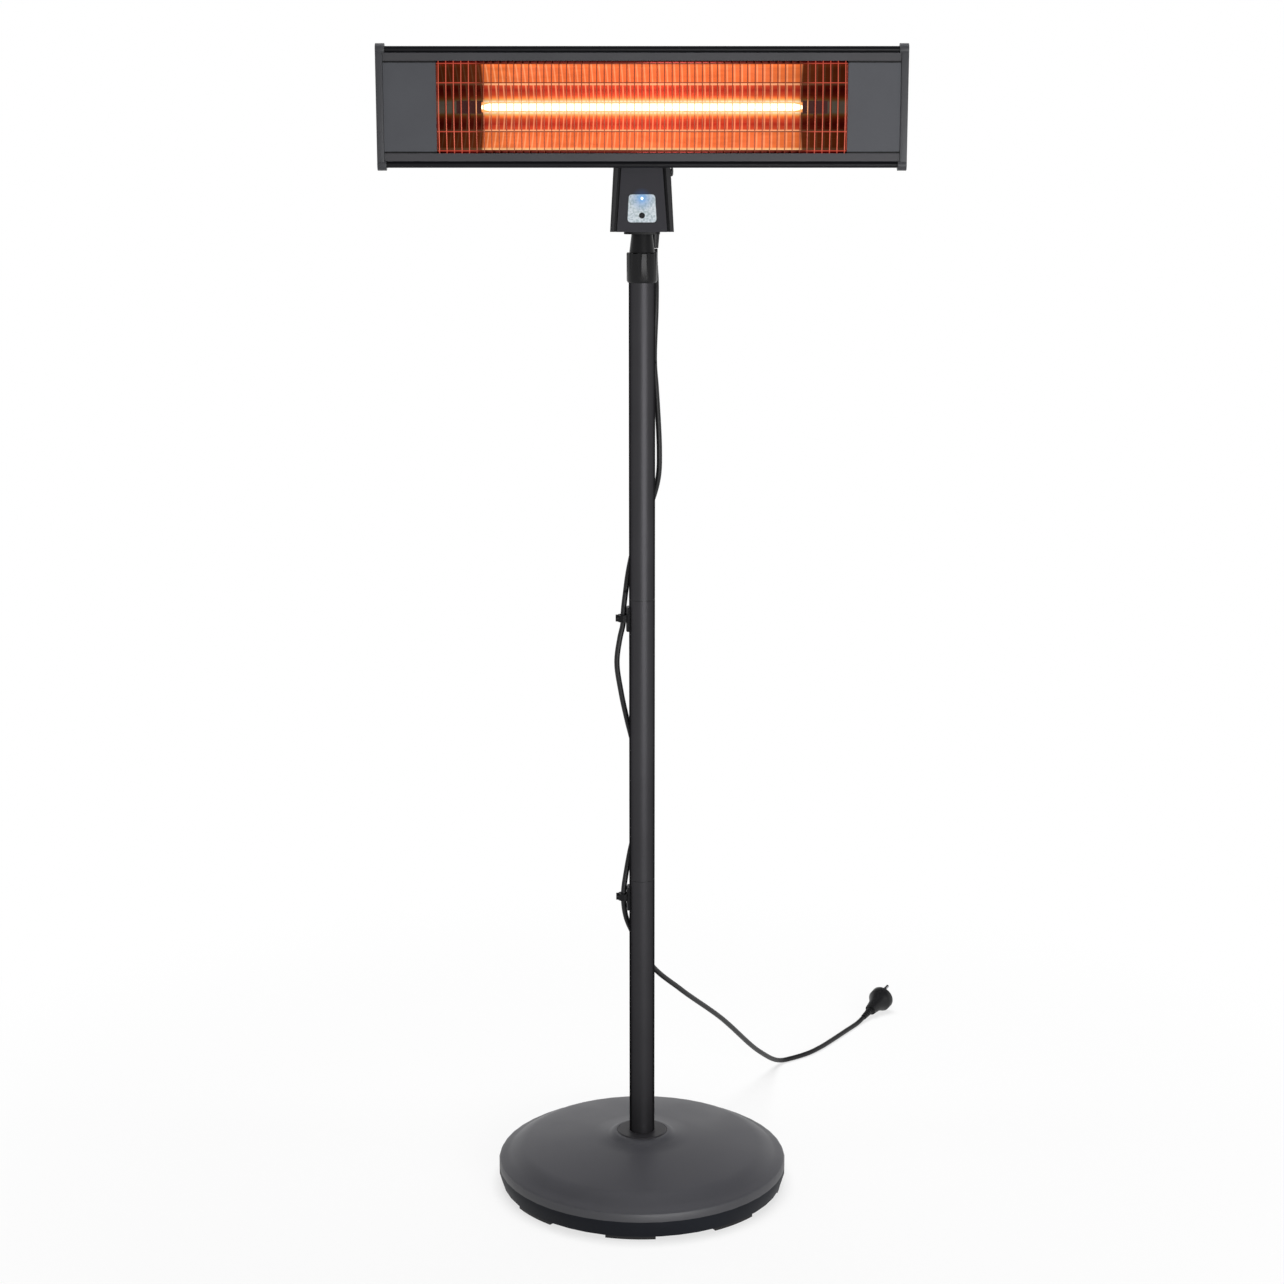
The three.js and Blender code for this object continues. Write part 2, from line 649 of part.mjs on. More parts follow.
function couplerGeometry(joint) {
  const plug = POLE_BORE - FIT_GAP;
  const collar = POLE_RADIUS - JOINT_RECESS;
  return turned(closed([
    [COUPLER_BORE, joint - COUPLER_REACH],
    [plug, joint - COUPLER_REACH],
    [plug, joint],
    [collar, joint],
    [collar, joint + JOINT_LINE],
    [plug, joint + JOINT_LINE],
    [plug, joint + JOINT_LINE + COUPLER_REACH],
    [COUPLER_BORE, joint + JOINT_LINE + COUPLER_REACH],
  ]));
}

function addPole(group) {
  const tube = (bottom, top) => ring(POLE_BORE, POLE_RADIUS, bottom, top);
  add(group, 'lower_tube', tube(BOSS_TOP, LOWER_JOINT), MATERIALS.powderCoat);
  add(group, 'middle_tube', tube(MIDDLE_TUBE_BOTTOM, UPPER_JOINT), MATERIALS.powderCoat);
  add(group, 'upper_tube', tube(UPPER_TUBE_BOTTOM, POLE_TOP), MATERIALS.powderCoat);
  add(group, 'lower_coupler', couplerGeometry(LOWER_JOINT), MATERIALS.blackSteel);
  add(group, 'upper_coupler', couplerGeometry(UPPER_JOINT), MATERIALS.blackSteel);
}

// ---------------------------------------------------------------- clamp and mast

const SLEEVE_TOP = POLE_TOP + SLEEVE_HEIGHT;
const SLEEVE_BOTTOM = POLE_TOP - SLEEVE_DEPTH;
const BUSH_TOP = SLEEVE_BOTTOM - MAST_TRAVEL - STOP_GAP;
const BUSH_BOTTOM = BUSH_TOP - BUSH_HEIGHT;

function clampSleeve() {
  const body = turned(closed([
    [MAST_BORE_FIT, SLEEVE_BOTTOM],
    [POLE_BORE - FIT_GAP, SLEEVE_BOTTOM],
    [POLE_BORE - FIT_GAP, POLE_TOP],
    [POLE_RADIUS, POLE_TOP],
    [POLE_RADIUS, POLE_TOP + SLEEVE_COLLAR_HEIGHT],
    [SLEEVE_RADIUS, POLE_TOP + SLEEVE_COLLAR_HEIGHT],
    [SLEEVE_RADIUS, SLEEVE_TOP - SLEEVE_CONE_HEIGHT],
    [SLEEVE_TIP_RADIUS, SLEEVE_TOP],
    [MAST_BORE_FIT, SLEEVE_TOP],
  ]));
  const slotBottom = POLE_TOP + 2 * SLEEVE_COLLAR_HEIGHT;
  const slot = block(
    -POLE_RADIUS,
    POLE_RADIUS,
    -SLEEVE_SLOT / 2,
    SLEEVE_SLOT / 2,
    slotBottom,
    SLEEVE_TOP + 1,
  );
  return cut(body, slot, slot.clone().rotateZ(Math.PI / 2));
}

function lockNut() {
  const bore = MAST_RADIUS + SPIN_GAP;
  const thread = SLEEVE_RADIUS + 2 * FIT_GAP;
  const skirt = POLE_RADIUS + 2 * FIT_GAP;
  const skirtTop = POLE_TOP + SLEEVE_COLLAR_HEIGHT + FIT_GAP;
  const lipBottom = LOCK_NUT_TOP - LOCK_NUT_LIP;
  const body = turned(closed([
    [skirt, LOCK_NUT_BOTTOM],
    [LOCK_NUT_RADIUS - LOCK_NUT_CHAMFER / 2, LOCK_NUT_BOTTOM],
    [LOCK_NUT_RADIUS, LOCK_NUT_BOTTOM + LOCK_NUT_CHAMFER],
    [LOCK_NUT_RADIUS, LOCK_NUT_TOP - LOCK_NUT_EDGE],
    [LOCK_NUT_RADIUS - LOCK_NUT_EDGE, LOCK_NUT_TOP],
    [bore, LOCK_NUT_TOP],
    [bore, lipBottom],
    [SLEEVE_TIP_RADIUS + 2 * FIT_GAP, lipBottom - 1],
    [thread, SLEEVE_TOP - SLEEVE_CONE_HEIGHT],
    [thread, skirtTop],
    [skirt, skirtTop],
  ]));
  const fluteLength = LOCK_NUT_HEIGHT - LOCK_NUT_CHAMFER;
  const lean = Math.atan(FLUTE_DEPTH / fluteLength);
  const flutes = [];
  for (let i = 0; i < FLUTE_COUNT; i += 1) {
    const flute = rod(FLUTE_RADIUS, -fluteLength, fluteLength, 10)
      .rotateY(-lean)
      .translate(LOCK_NUT_RADIUS + FLUTE_RADIUS - FLUTE_DEPTH, 0, LOCK_NUT_TOP)
      .rotateZ((2 * Math.PI * (i + 0.25)) / FLUTE_COUNT);
    flutes.push(flute);
  }
  return cut(body, ...flutes);
}

function neckSocket() {
  const skirt = turned(closed([
    [MAST_BORE_FIT, NECK_BOTTOM],
    [NECK_LOW_RADIUS, NECK_BOTTOM],
    [NECK_TOP_RADIUS, NECK_FLANGE_BOTTOM],
    [NECK_SPIGOT_RADIUS, NECK_FLANGE_BOTTOM],
    [NECK_SPIGOT_RADIUS, BOX_BOTTOM + NECK_SPIGOT_HEIGHT],
    [MAST_BORE_FIT, BOX_BOTTOM + NECK_SPIGOT_HEIGHT],
  ]));
  const halfX = NECK_FLANGE_WIDTH / 2 - NECK_FLANGE_CORNER;
  const halfY = NECK_FLANGE_DEPTH / 2 - NECK_FLANGE_CORNER;
  const flange = shapeOf([
    ...arcPoints(halfX, halfY, NECK_FLANGE_CORNER, 0, 90, 4),
    ...arcPoints(-halfX, halfY, NECK_FLANGE_CORNER, 90, 180, 4),
    ...arcPoints(-halfX, -halfY, NECK_FLANGE_CORNER, 180, 270, 4),
    ...arcPoints(halfX, -halfY, NECK_FLANGE_CORNER, 270, 360, 4),
  ]);
  roundHole(flange, 0, 0, MAST_BORE_FIT + 1);
  const plate = extrude(flange, NECK_FLANGE_HEIGHT).translate(0, 0, NECK_FLANGE_BOTTOM);
  return join(skirt, plate);
}

function addMast(group) {
  add(group, 'clamp_sleeve', clampSleeve(), MATERIALS.blackPlastic);
  add(group, 'lock_nut', lockNut(), MATERIALS.blackPlastic);
  add(group, 'guide_bush', turned([
    [0, BUSH_BOTTOM],
    [POLE_BORE - FIT_GAP, BUSH_BOTTOM],
    [POLE_BORE - FIT_GAP, BUSH_TOP],
    [MAST_BORE_FIT, BUSH_TOP],
    [MAST_BORE_FIT, BUSH_BOTTOM + BUSH_FLOOR],
    [0, BUSH_BOTTOM + BUSH_FLOOR],
  ]), MATERIALS.blackPlastic);
  const mastBottom = BUSH_BOTTOM + BUSH_FLOOR + FIT_GAP;
  const mastTop = BOX_BOTTOM + NECK_SPIGOT_HEIGHT;
  const mast = ring(MAST_RADIUS - MAST_WALL, MAST_RADIUS, mastBottom, mastTop);
  add(group, 'inner_tube', mast, MATERIALS.powderCoat);
  add(group, 'neck_socket', neckSocket(), MATERIALS.blackPlastic);
}

// ---------------------------------------------------------------- control box

const COVER_BACK = BOX_FRONT + COVER_THICKNESS;
const BOARD_FRONT = COVER_BACK + BOARD_SETBACK;
const BOARD_BACK = BOARD_FRONT + BOARD_THICKNESS;
const BOARD_BOTTOM = BOX_BOTTOM + BOARD_ABOVE_BOTTOM;
const BUTTON_Z = BOX_BOTTOM + BUTTON_ABOVE_BOTTOM;
const LED_Z = BOX_BOTTOM + LED_ABOVE_BOTTOM;
const PLATE_FRONT = BOX_FRONT - PLATE_THICKNESS;
const SWITCH_FRONT = BOARD_FRONT - FIT_GAP - 1;
const BARREL_HALF = COVER_TOP_WIDTH / 2 - COVER_LEDGE - FIT_GAP;

function boxHalfWidthAt(z) {
  const share = (z - BOX_BOTTOM) / BOX_HEIGHT;
  return (BOX_BOTTOM_WIDTH + (BOX_TOP_WIDTH - BOX_BOTTOM_WIDTH) * share) / 2;
}

// the cover's outline widened on each side, from bottom to top
function coverOutline(widen, bottom, top) {
  const lean = (COVER_BOTTOM_WIDTH - COVER_TOP_WIDTH) / BOX_HEIGHT;
  const widthAt = (z) => COVER_BOTTOM_WIDTH + 2 * widen - lean * (z - BOX_BOTTOM);
  return taperedOutline(widthAt(bottom), widthAt(top), bottom, top);
}

function rearShell() {
  const outline = taperedOutline(
    BOX_BOTTOM_WIDTH - 2 * BOX_EDGE,
    BOX_TOP_WIDTH - 2 * BOX_EDGE,
    BOX_BOTTOM + BOX_EDGE,
    BOX_TOP - BOX_EDGE,
  );
  const body = new THREE.ExtrudeGeometry(shapeOf(outline), {
    depth: BOX_DEPTH - 2 * BOX_EDGE,
    bevelSize: BOX_EDGE,
    bevelThickness: BOX_EDGE,
    bevelSegments: 1,
  }).rotateX(Math.PI / 2).translate(0, BOX_REAR - BOX_EDGE, 0);

  const seat = coverOutline(COVER_GROOVE, BOX_BOTTOM - 1, BOX_TOP + 1);
  const roomTop = BOX_TOP - BOX_WALL;
  const room = coverOutline(-COVER_LEDGE, BOX_BOTTOM + BOX_WALL, roomTop);
  const slot = coverOutline(-COVER_LEDGE, roomTop - 1, BOX_TOP + 1);
  const slotRear = HINGE_Y + BARREL_RADIUS + BARREL_CLEARANCE;
  const boltHole = alongX(rod(HINGE_BOLT_RADIUS + FIT_GAP, -BOX_BOTTOM_WIDTH, BOX_BOTTOM_WIDTH));
  const pocketBottom = boxHalfWidthAt(HINGE_Z) - HINGE_POCKET_DEPTH;
  const nutPocket = alongX(
    rod(HINGE_NUT_RADIUS + FIT_GAP, -BOX_BOTTOM_WIDTH, -pocketBottom),
  );
  return cut(
    body,
    extrudeY(shapeOf(seat), BOX_FRONT - 1, COVER_BACK),
    extrudeY(shapeOf(room), COVER_BACK - 1, BOX_REAR - BOX_WALL),
    extrudeY(shapeOf(slot), COVER_BACK - 1, slotRear),
    boltHole.translate(0, HINGE_Y, HINGE_Z),
    nutPocket.translate(0, HINGE_Y, HINGE_Z),
    rod(NECK_SPIGOT_RADIUS + FIT_GAP, BOX_BOTTOM - 1, BOX_BOTTOM + BOX_WALL + 1, TUBE_SIDES),
    rod(GLAND_NECK_RADIUS + FIT_GAP, BOX_BOTTOM - 1, BOX_BOTTOM + BOX_WALL + 1)
      .translate(GLAND_X, GLAND_Y, 0),
  );
}

function frontCover() {
  const shape = shapeOf(coverOutline(0, BOX_BOTTOM, BOX_TOP));
  roundHole(shape, 0, BUTTON_Z, BUTTON_RADIUS + FIT_GAP);
  roundHole(shape, 0, LED_Z, LED_RADIUS + FIT_GAP);
  const pegX = BOARD_WIDTH / 2 - BOARD_PEG_INSET;
  const pegs = [];
  for (const x of [-pegX, pegX]) {
    for (const z of [BOARD_BOTTOM + BOARD_PEG_INSET, BOARD_BOTTOM + BOARD_HEIGHT - BOARD_PEG_INSET]) {
      const peg = rod(BOARD_PEG_RADIUS, COVER_BACK - 1, BOARD_FRONT - FIT_GAP, 10);
      pegs.push(alongY(peg).translate(x, 0, z));
    }
  }
  return join(extrudeY(shape, BOX_FRONT, COVER_BACK), ...pegs);
}

function labelPlate() {
  const bottom = BOX_BOTTOM + PLATE_ABOVE_BOTTOM;
  const shape = shapeOf(taperedOutline(
    PLATE_BOTTOM_WIDTH,
    PLATE_TOP_WIDTH,
    bottom,
    bottom + PLATE_HEIGHT,
    PLATE_CORNER,
  ));
  roundHole(shape, 0, BUTTON_Z, BUTTON_RADIUS + FIT_GAP);
  roundHole(shape, 0, LED_Z, LED_RADIUS + FIT_GAP);
  return extrudeY(shape, PLATE_FRONT, BOX_FRONT);
}

function powerButton() {
  const flangeFront = COVER_BACK + FIT_GAP;
  const back = SWITCH_FRONT - BUTTON_TRAVEL - FIT_GAP;
  return alongY(turned([
    [0, PLATE_FRONT - BUTTON_PROUD],
    [BUTTON_RADIUS - BUTTON_EDGE, PLATE_FRONT - BUTTON_PROUD],
    [BUTTON_RADIUS, PLATE_FRONT - BUTTON_PROUD + BUTTON_EDGE],
    [BUTTON_RADIUS, flangeFront],
    [BUTTON_RADIUS + BUTTON_FLANGE, flangeFront],
    [BUTTON_RADIUS + BUTTON_FLANGE, back],
    [0, back],
  ], SMALL_SIDES));
}

function cordGland() {
  const tip = BOX_BOTTOM - GLAND_FLANGE_HEIGHT - GLAND_BOOT_LENGTH;
  const wallTop = BOX_BOTTOM + BOX_WALL + FIT_GAP;
  return turned([
    [0, tip],
    [GLAND_TIP_RADIUS, tip],
    [GLAND_ROOT_RADIUS, BOX_BOTTOM - GLAND_FLANGE_HEIGHT],
    [GLAND_FLANGE_RADIUS, BOX_BOTTOM - GLAND_FLANGE_HEIGHT],
    [GLAND_FLANGE_RADIUS, BOX_BOTTOM - FIT_GAP / 2],
    [GLAND_NECK_RADIUS, BOX_BOTTOM - FIT_GAP / 2],
    [GLAND_NECK_RADIUS, wallTop],
    [GLAND_COLLAR_RADIUS, wallTop],
    [GLAND_COLLAR_RADIUS, wallTop + GLAND_COLLAR_HEIGHT],
    [0, wallTop + GLAND_COLLAR_HEIGHT],
  ], SMALL_SIDES);
}

function hingeBolt() {
  const headInside = boxHalfWidthAt(HINGE_Z - HINGE_HEAD_RADIUS) + FIT_GAP / 2;
  const end = -boxHalfWidthAt(HINGE_Z) + FIT_GAP;
  return alongX(turned([
    [0, end],
    [HINGE_BOLT_RADIUS, end],
    [HINGE_BOLT_RADIUS, headInside],
    [HINGE_HEAD_RADIUS, headInside],
    [HINGE_HEAD_RADIUS, headInside + HINGE_HEAD_SIDE],
    [HINGE_CROWN_RADIUS, headInside + HINGE_HEAD_SIDE + HINGE_HEAD_CROWN],
    [0, headInside + HINGE_HEAD_HEIGHT],
  ], SMALL_SIDES));
}

function hingeNut() {
  const inside = -(boxHalfWidthAt(HINGE_Z) - HINGE_POCKET_DEPTH) - FIT_GAP;
  const bore = alongX(rod(HINGE_BOLT_RADIUS + FIT_GAP, inside - HINGE_NUT_HEIGHT - 1, inside + 1));
  const hexagon = rod(HINGE_NUT_RADIUS, inside - HINGE_NUT_HEIGHT, inside, 6);
  return cut(alongX(hexagon), bore);
}

function addControlBox(group) {
  add(group, 'box_rear_shell', rearShell(), MATERIALS.boxPlastic);
  add(group, 'box_front_cover', frontCover(), MATERIALS.boxPlastic);
  add(group, 'label_plate', labelPlate(), MATERIALS.silver);
  add(group, 'power_button', powerButton(), MATERIALS.blackPlastic).position.z = BUTTON_Z;
  const led = alongY(rod(LED_RADIUS, PLATE_FRONT - LED_PROUD, BOARD_FRONT - FIT_GAP, 12));
  add(group, 'led_lens', led, MATERIALS.led).position.z = LED_Z;
  add(group, 'button_switch', block(
    -SWITCH_SIZE / 2,
    SWITCH_SIZE / 2,
    SWITCH_FRONT,
    BOARD_FRONT - FIT_GAP,
    -SWITCH_SIZE / 2,
    SWITCH_SIZE / 2,
  ), MATERIALS.blackPlastic).position.z = BUTTON_Z;
  add(group, 'control_board', block(
    -BOARD_WIDTH / 2,
    BOARD_WIDTH / 2,
    BOARD_FRONT,
    BOARD_BACK,
    BOARD_BOTTOM,
    BOARD_BOTTOM + BOARD_HEIGHT,
  ), MATERIALS.board);
  add(group, 'cord_gland', cordGland(), MATERIALS.rubber).position.set(GLAND_X, GLAND_Y, 0);
  add(group, 'hinge_bolt', hingeBolt(), MATERIALS.blackSteel).position.set(0, HINGE_Y, HINGE_Z);
  add(group, 'hinge_nut', hingeNut(), MATERIALS.steel).position.set(0, HINGE_Y, HINGE_Z);
}

// ---------------------------------------------------------------- head

// the housing's closed outline in [back, up], anticlockwise from the lower lip
function housingOutline() {
  const upper = [
    [HEAD_DEPTH, WALL_REAR_UP - REAR_CORNER],
    [WALL_REAR_BACK, WALL_REAR_UP],
    [WALL_FRONT_BACK, WALL_FRONT_UP],
    ...arcPoints(BEAD_BACK, BEAD_UP, BEAD_RADIUS, 50, 220, 7),
    [0, LIP_OUTER],
  ];
  const lower = upper.map(([back, up]) => [back, -up]).reverse();
  return [...lower, ...upper];
}

function housing() {
  const outline = housingOutline();
  const cavity = [
    [LIP_THICKNESS, LIP_OUTER - HEAD_WALL],
    [WALL_FRONT_BACK, WALL_FRONT_UP - 2 * HEAD_WALL],
    [WALL_REAR_BACK - HEAD_WALL / 2, WALL_REAR_UP - HEAD_WALL],
    [HEAD_DEPTH - HEAD_WALL, WALL_REAR_UP - REAR_CORNER - HEAD_WALL / 2],
  ];
  const cavityOutline = [
    ...cavity.map(([back, up]) => [back, -up]),
    ...cavity.reverse(),
  ];
  const slot = [
    [-1, -LIP_INNER],
    [LIP_THICKNESS + 1, -LIP_INNER],
    [LIP_THICKNESS + 1, LIP_INNER],
    [-1, LIP_INNER],
  ];
  const ports = [];
  for (const side of [-1, 1]) {
    for (const up of [-BEAD_UP, BEAD_UP]) {
      const inner = side * (HOUSING_HALF - CAP_SCREW_PORT_DEPTH);
      const outer = side * (HOUSING_HALF + 1);
      const port = rod(CAP_SCREW_PORT, Math.min(inner, outer), Math.max(inner, outer), 8);
      ports.push(alongX(port).translate(0, BEAD_BACK, up));
    }
  }
  const screwHoles = [-1, 1].map((side) => alongY(
    rod(BRACKET_SCREW_RADIUS + FIT_GAP, HEAD_DEPTH - 2 * HEAD_WALL, HEAD_DEPTH + 1, 8),
  ).translate((side * BRACKET_SCREW_SPACING) / 2, 0, BRACKET_SCREW_UP));
  return cut(
    extrudeX(outline, -HOUSING_HALF, HOUSING_HALF),
    extrudeX(cavityOutline, -HOUSING_HALF - 1, HOUSING_HALF + 1),
    extrudeX(slot, -HOUSING_HALF - 1, HOUSING_HALF + 1),
    ...ports,
    ...screwHoles,
  );
}

// the bracket's screws sit midway up its rear tab
const BRACKET_SCREW_UP = -(WALL_REAR_UP - REAR_CORNER) + BRACKET_UP_REAR / 2 + 2;

function endCap(side) {
  const inner = CAP_INSIDE;
  const outer = HEAD_WIDTH / 2;
  const plate = extrudeX(offsetOutline(housingOutline(), CAP_OVERHANG), inner, outer);
  const knobs = [-BEAD_UP, BEAD_UP].map((up) => alongX(
    rod(CAP_KNOB_RADIUS, inner - CAP_KNOB_REACH, outer),
  ).translate(0, BEAD_BACK, up));
  const clearance = extrudeX(
    offsetOutline(housingOutline(), FIT_GAP),
    inner - 2 * CAP_KNOB_REACH,
    inner,
  );
  const holes = [-BEAD_UP, BEAD_UP].flatMap((up) => [
    rod(CAP_SCREW_RADIUS + FIT_GAP, inner - 1, outer + 1, 8),
    rod(CAP_SCREW_HEAD_RADIUS + FIT_GAP, outer - CAP_SCREW_HEAD_HEIGHT - FIT_GAP, outer + 1),
  ].map((hole) => alongX(hole).translate(0, BEAD_BACK, up)));
  const cap = cut(join(plate, ...knobs), clearance, ...holes);
  return side > 0 ? cap : mirrored(cap);
}

// the same piece on the other side of the head
function mirrored(geometry) {
  const copy = geometry.clone().scale(-1, 1, 1);
  const index = copy.index.array;
  for (let i = 0; i < index.length; i += 3) {
    [index[i + 1], index[i + 2]] = [index[i + 2], index[i + 1]];
  }
  copy.computeVertexNormals();
  return copy;
}

function capScrew(side) {
  const outer = HEAD_WIDTH / 2;
  const headInside = outer - CAP_SCREW_HEAD_HEIGHT;
  const screw = turned([
    [0, outer - CAP_SCREW_LENGTH],
    [CAP_SCREW_RADIUS, outer - CAP_SCREW_LENGTH],
    [CAP_SCREW_RADIUS, headInside],
    [CAP_SCREW_HEAD_RADIUS, headInside],
    [CAP_SCREW_HEAD_RADIUS, outer],
    [0, outer],
  ], 12);
  return alongX(screw).rotateZ(side > 0 ? 0 : Math.PI);
}

// a face panel: the visible plate with a tab above and below behind the lips
function facePanel(side) {
  const tabFront = LIP_THICKNESS + FIT_GAP;
  const tabBack = tabFront + PANEL_THICKNESS;
  const tabUp = PANEL_HALF_HEIGHT + PANEL_TAB;
  const upper = [
    [tabBack, tabUp],
    [tabFront, tabUp],
    [tabFront, PANEL_HALF_HEIGHT],
    [PANEL_SETBACK, PANEL_HALF_HEIGHT],
  ];
  const lower = upper.map(([back, up]) => [back, -up]).reverse();
  const inner = OPENING_HALF + FIT_GAP;
  const [x0, x1] = side > 0 ? [inner, HOUSING_HALF] : [-HOUSING_HALF, -inner];
  return extrudeX([...lower, ...upper], x0, x1);
}

// the wire grille: upright wires over four long wires, bowed forwards
function grille() {
  const halfWire = WIRE_SIZE / 2;
  const count = (WIRE_COUNT - 1) / 2;
  const pitch = (OPENING_HALF - FIT_GAP - WIRE_END - halfWire) / count;
  const longWires = [-GRILLE_EDGE_UP, -GRILLE_MIDDLE_UP, GRILLE_MIDDLE_UP, GRILLE_EDGE_UP];
  const edgeUp = GRILLE_EDGE_UP + halfWire;
  const tailUp = GRILLE_EDGE_UP + WIRE_TAIL;
  const side = count * pitch + halfWire;

  // half of the outline: the lower tails, then the ends of the long wires on the right
  const half = [];
  for (let i = -count; i <= count; i += WIRE_TAIL_EVERY) {
    const x = i * pitch;
    if (i > -count) half.push([x - halfWire, -edgeUp]);
    half.push([x - halfWire, -tailUp], [x + halfWire, -tailUp]);
    if (i < count) half.push([x + halfWire, -edgeUp]);
  }
  for (const up of longWires) {
    half.push([side, up - halfWire], [side + WIRE_END, up - halfWire]);
    half.push([side + WIRE_END, up + halfWire], [side, up + halfWire]);
  }
  const outline = [...half, ...half.map(([x, up]) => [-x, -up])];
  const windows = [];
  for (let i = -count; i < count; i += 1) {
    const left = i * pitch + halfWire;
    const right = (i + 1) * pitch - halfWire;
    for (let row = 0; row < longWires.length - 1; row += 1) {
      const low = longWires[row] + halfWire;
      const high = longWires[row + 1] - halfWire;
      windows.push(block(left, right, -WIRE_SIZE, 2 * WIRE_SIZE, low, high));
    }
  }
  const net = cut(extrudeY(shapeOf(outline), 0, WIRE_SIZE), ...windows);
  const places = net.getAttribute('position');
  for (let i = 0; i < places.count; i += 1) {
    const share = Math.min(Math.abs(places.getZ(i)) / edgeUp, 1);
    const bow = WIRE_BOW * (1 - share ** 2);
    places.setY(i, places.getY(i) + LIP_THICKNESS + FIT_GAP - bow);
  }
  net.computeVertexNormals();
  return net;
}

const REFLECTOR_FRONT = LIP_THICKNESS + FIT_GAP + WIRE_SIZE + FIT_GAP;

// how far back the reflector's inner face lies at a height
function reflectorBack(up) {
  return REFLECTOR_FRONT + REFLECTOR_SHEET + REFLECTOR_DEPTH * (1 - (up / REFLECTOR_MOUTH) ** 2);
}

function reflector() {
  const steps = 10;
  const ups = Array.from({ length: steps + 1 }, (_, i) => (
    -REFLECTOR_MOUTH + (2 * REFLECTOR_MOUTH * i) / steps
  ));
  const edge = REFLECTOR_MOUTH + REFLECTOR_FLANGE;
  const inside = ups.map((up) => [reflectorBack(up) - REFLECTOR_SHEET, up]);
  const outside = ups.map((up) => [reflectorBack(up), up]).reverse();
  const section = [
    [REFLECTOR_FRONT, -edge],
    [REFLECTOR_FRONT + REFLECTOR_SHEET, -edge],
    ...outside.slice().reverse(),
    [REFLECTOR_FRONT + REFLECTOR_SHEET, edge],
    [REFLECTOR_FRONT, edge],
    ...inside.slice().reverse(),
  ];
  const half = OPENING_HALF - FIT_GAP;
  const trough = extrudeX(section, -half, half);
  const end = [
    ...ups.map((up) => [reflectorBack(up) - REFLECTOR_SHEET / 2, up]),
    [REFLECTOR_FRONT, REFLECTOR_MOUTH],
    [REFLECTOR_FRONT, -REFLECTOR_MOUTH],
  ];
  const body = join(
    trough,
    extrudeX(end, -half, -half + REFLECTOR_SHEET),
    extrudeX(end, half - REFLECTOR_SHEET, half),
  );
  // each end has a square port for the ceramic end of a lamp and its lead
  const room = CERAMIC_SIZE / 2 + FIT_GAP;
  const ports = block(-half - 1, half + 1, LAMP_BACK - room, LAMP_BACK + room, -room, room);
  return cut(body, ports);
}

const CERAMIC_INNER = LAMP_LENGTH / 2 - CERAMIC_SOCKET + FIT_GAP;
const HOLDER_X = CERAMIC_INNER + CERAMIC_LENGTH / 2;

function ceramicEnd(side) {
  const half = CERAMIC_SIZE / 2;
  const body = block(
    CERAMIC_INNER,
    CERAMIC_INNER + CERAMIC_LENGTH,
    LAMP_BACK - half,
    LAMP_BACK + half,
    -half,
    half,
  );
  const socket = alongX(rod(
    LAMP_RADIUS + FIT_GAP,
    CERAMIC_INNER - 1,
    CERAMIC_INNER + CERAMIC_SOCKET,
  )).translate(0, LAMP_BACK, 0);
  const end = cut(body, socket);
  return side > 0 ? end : mirrored(end);
}

function lampHolder(side) {
  const half = HOLDER_WIDTH / 2;
  const front = LAMP_BACK - CERAMIC_SIZE / 2;
  const back = reflectorBack(half) - REFLECTOR_SHEET - FIT_GAP;
  const plate = block(
    HOLDER_X,
    HOLDER_X + HOLDER_THICKNESS,
    front,
    back,
    -half,
    half,
  );
  const room = CERAMIC_SIZE / 2 + FIT_GAP;
  const hole = block(
    HOLDER_X - 1,
    HOLDER_X + HOLDER_THICKNESS + 1,
    front - 1,
    LAMP_BACK + room,
    -room,
    room,
  );
  const holder = cut(plate, hole);
  return side > 0 ? holder : mirrored(holder);
}

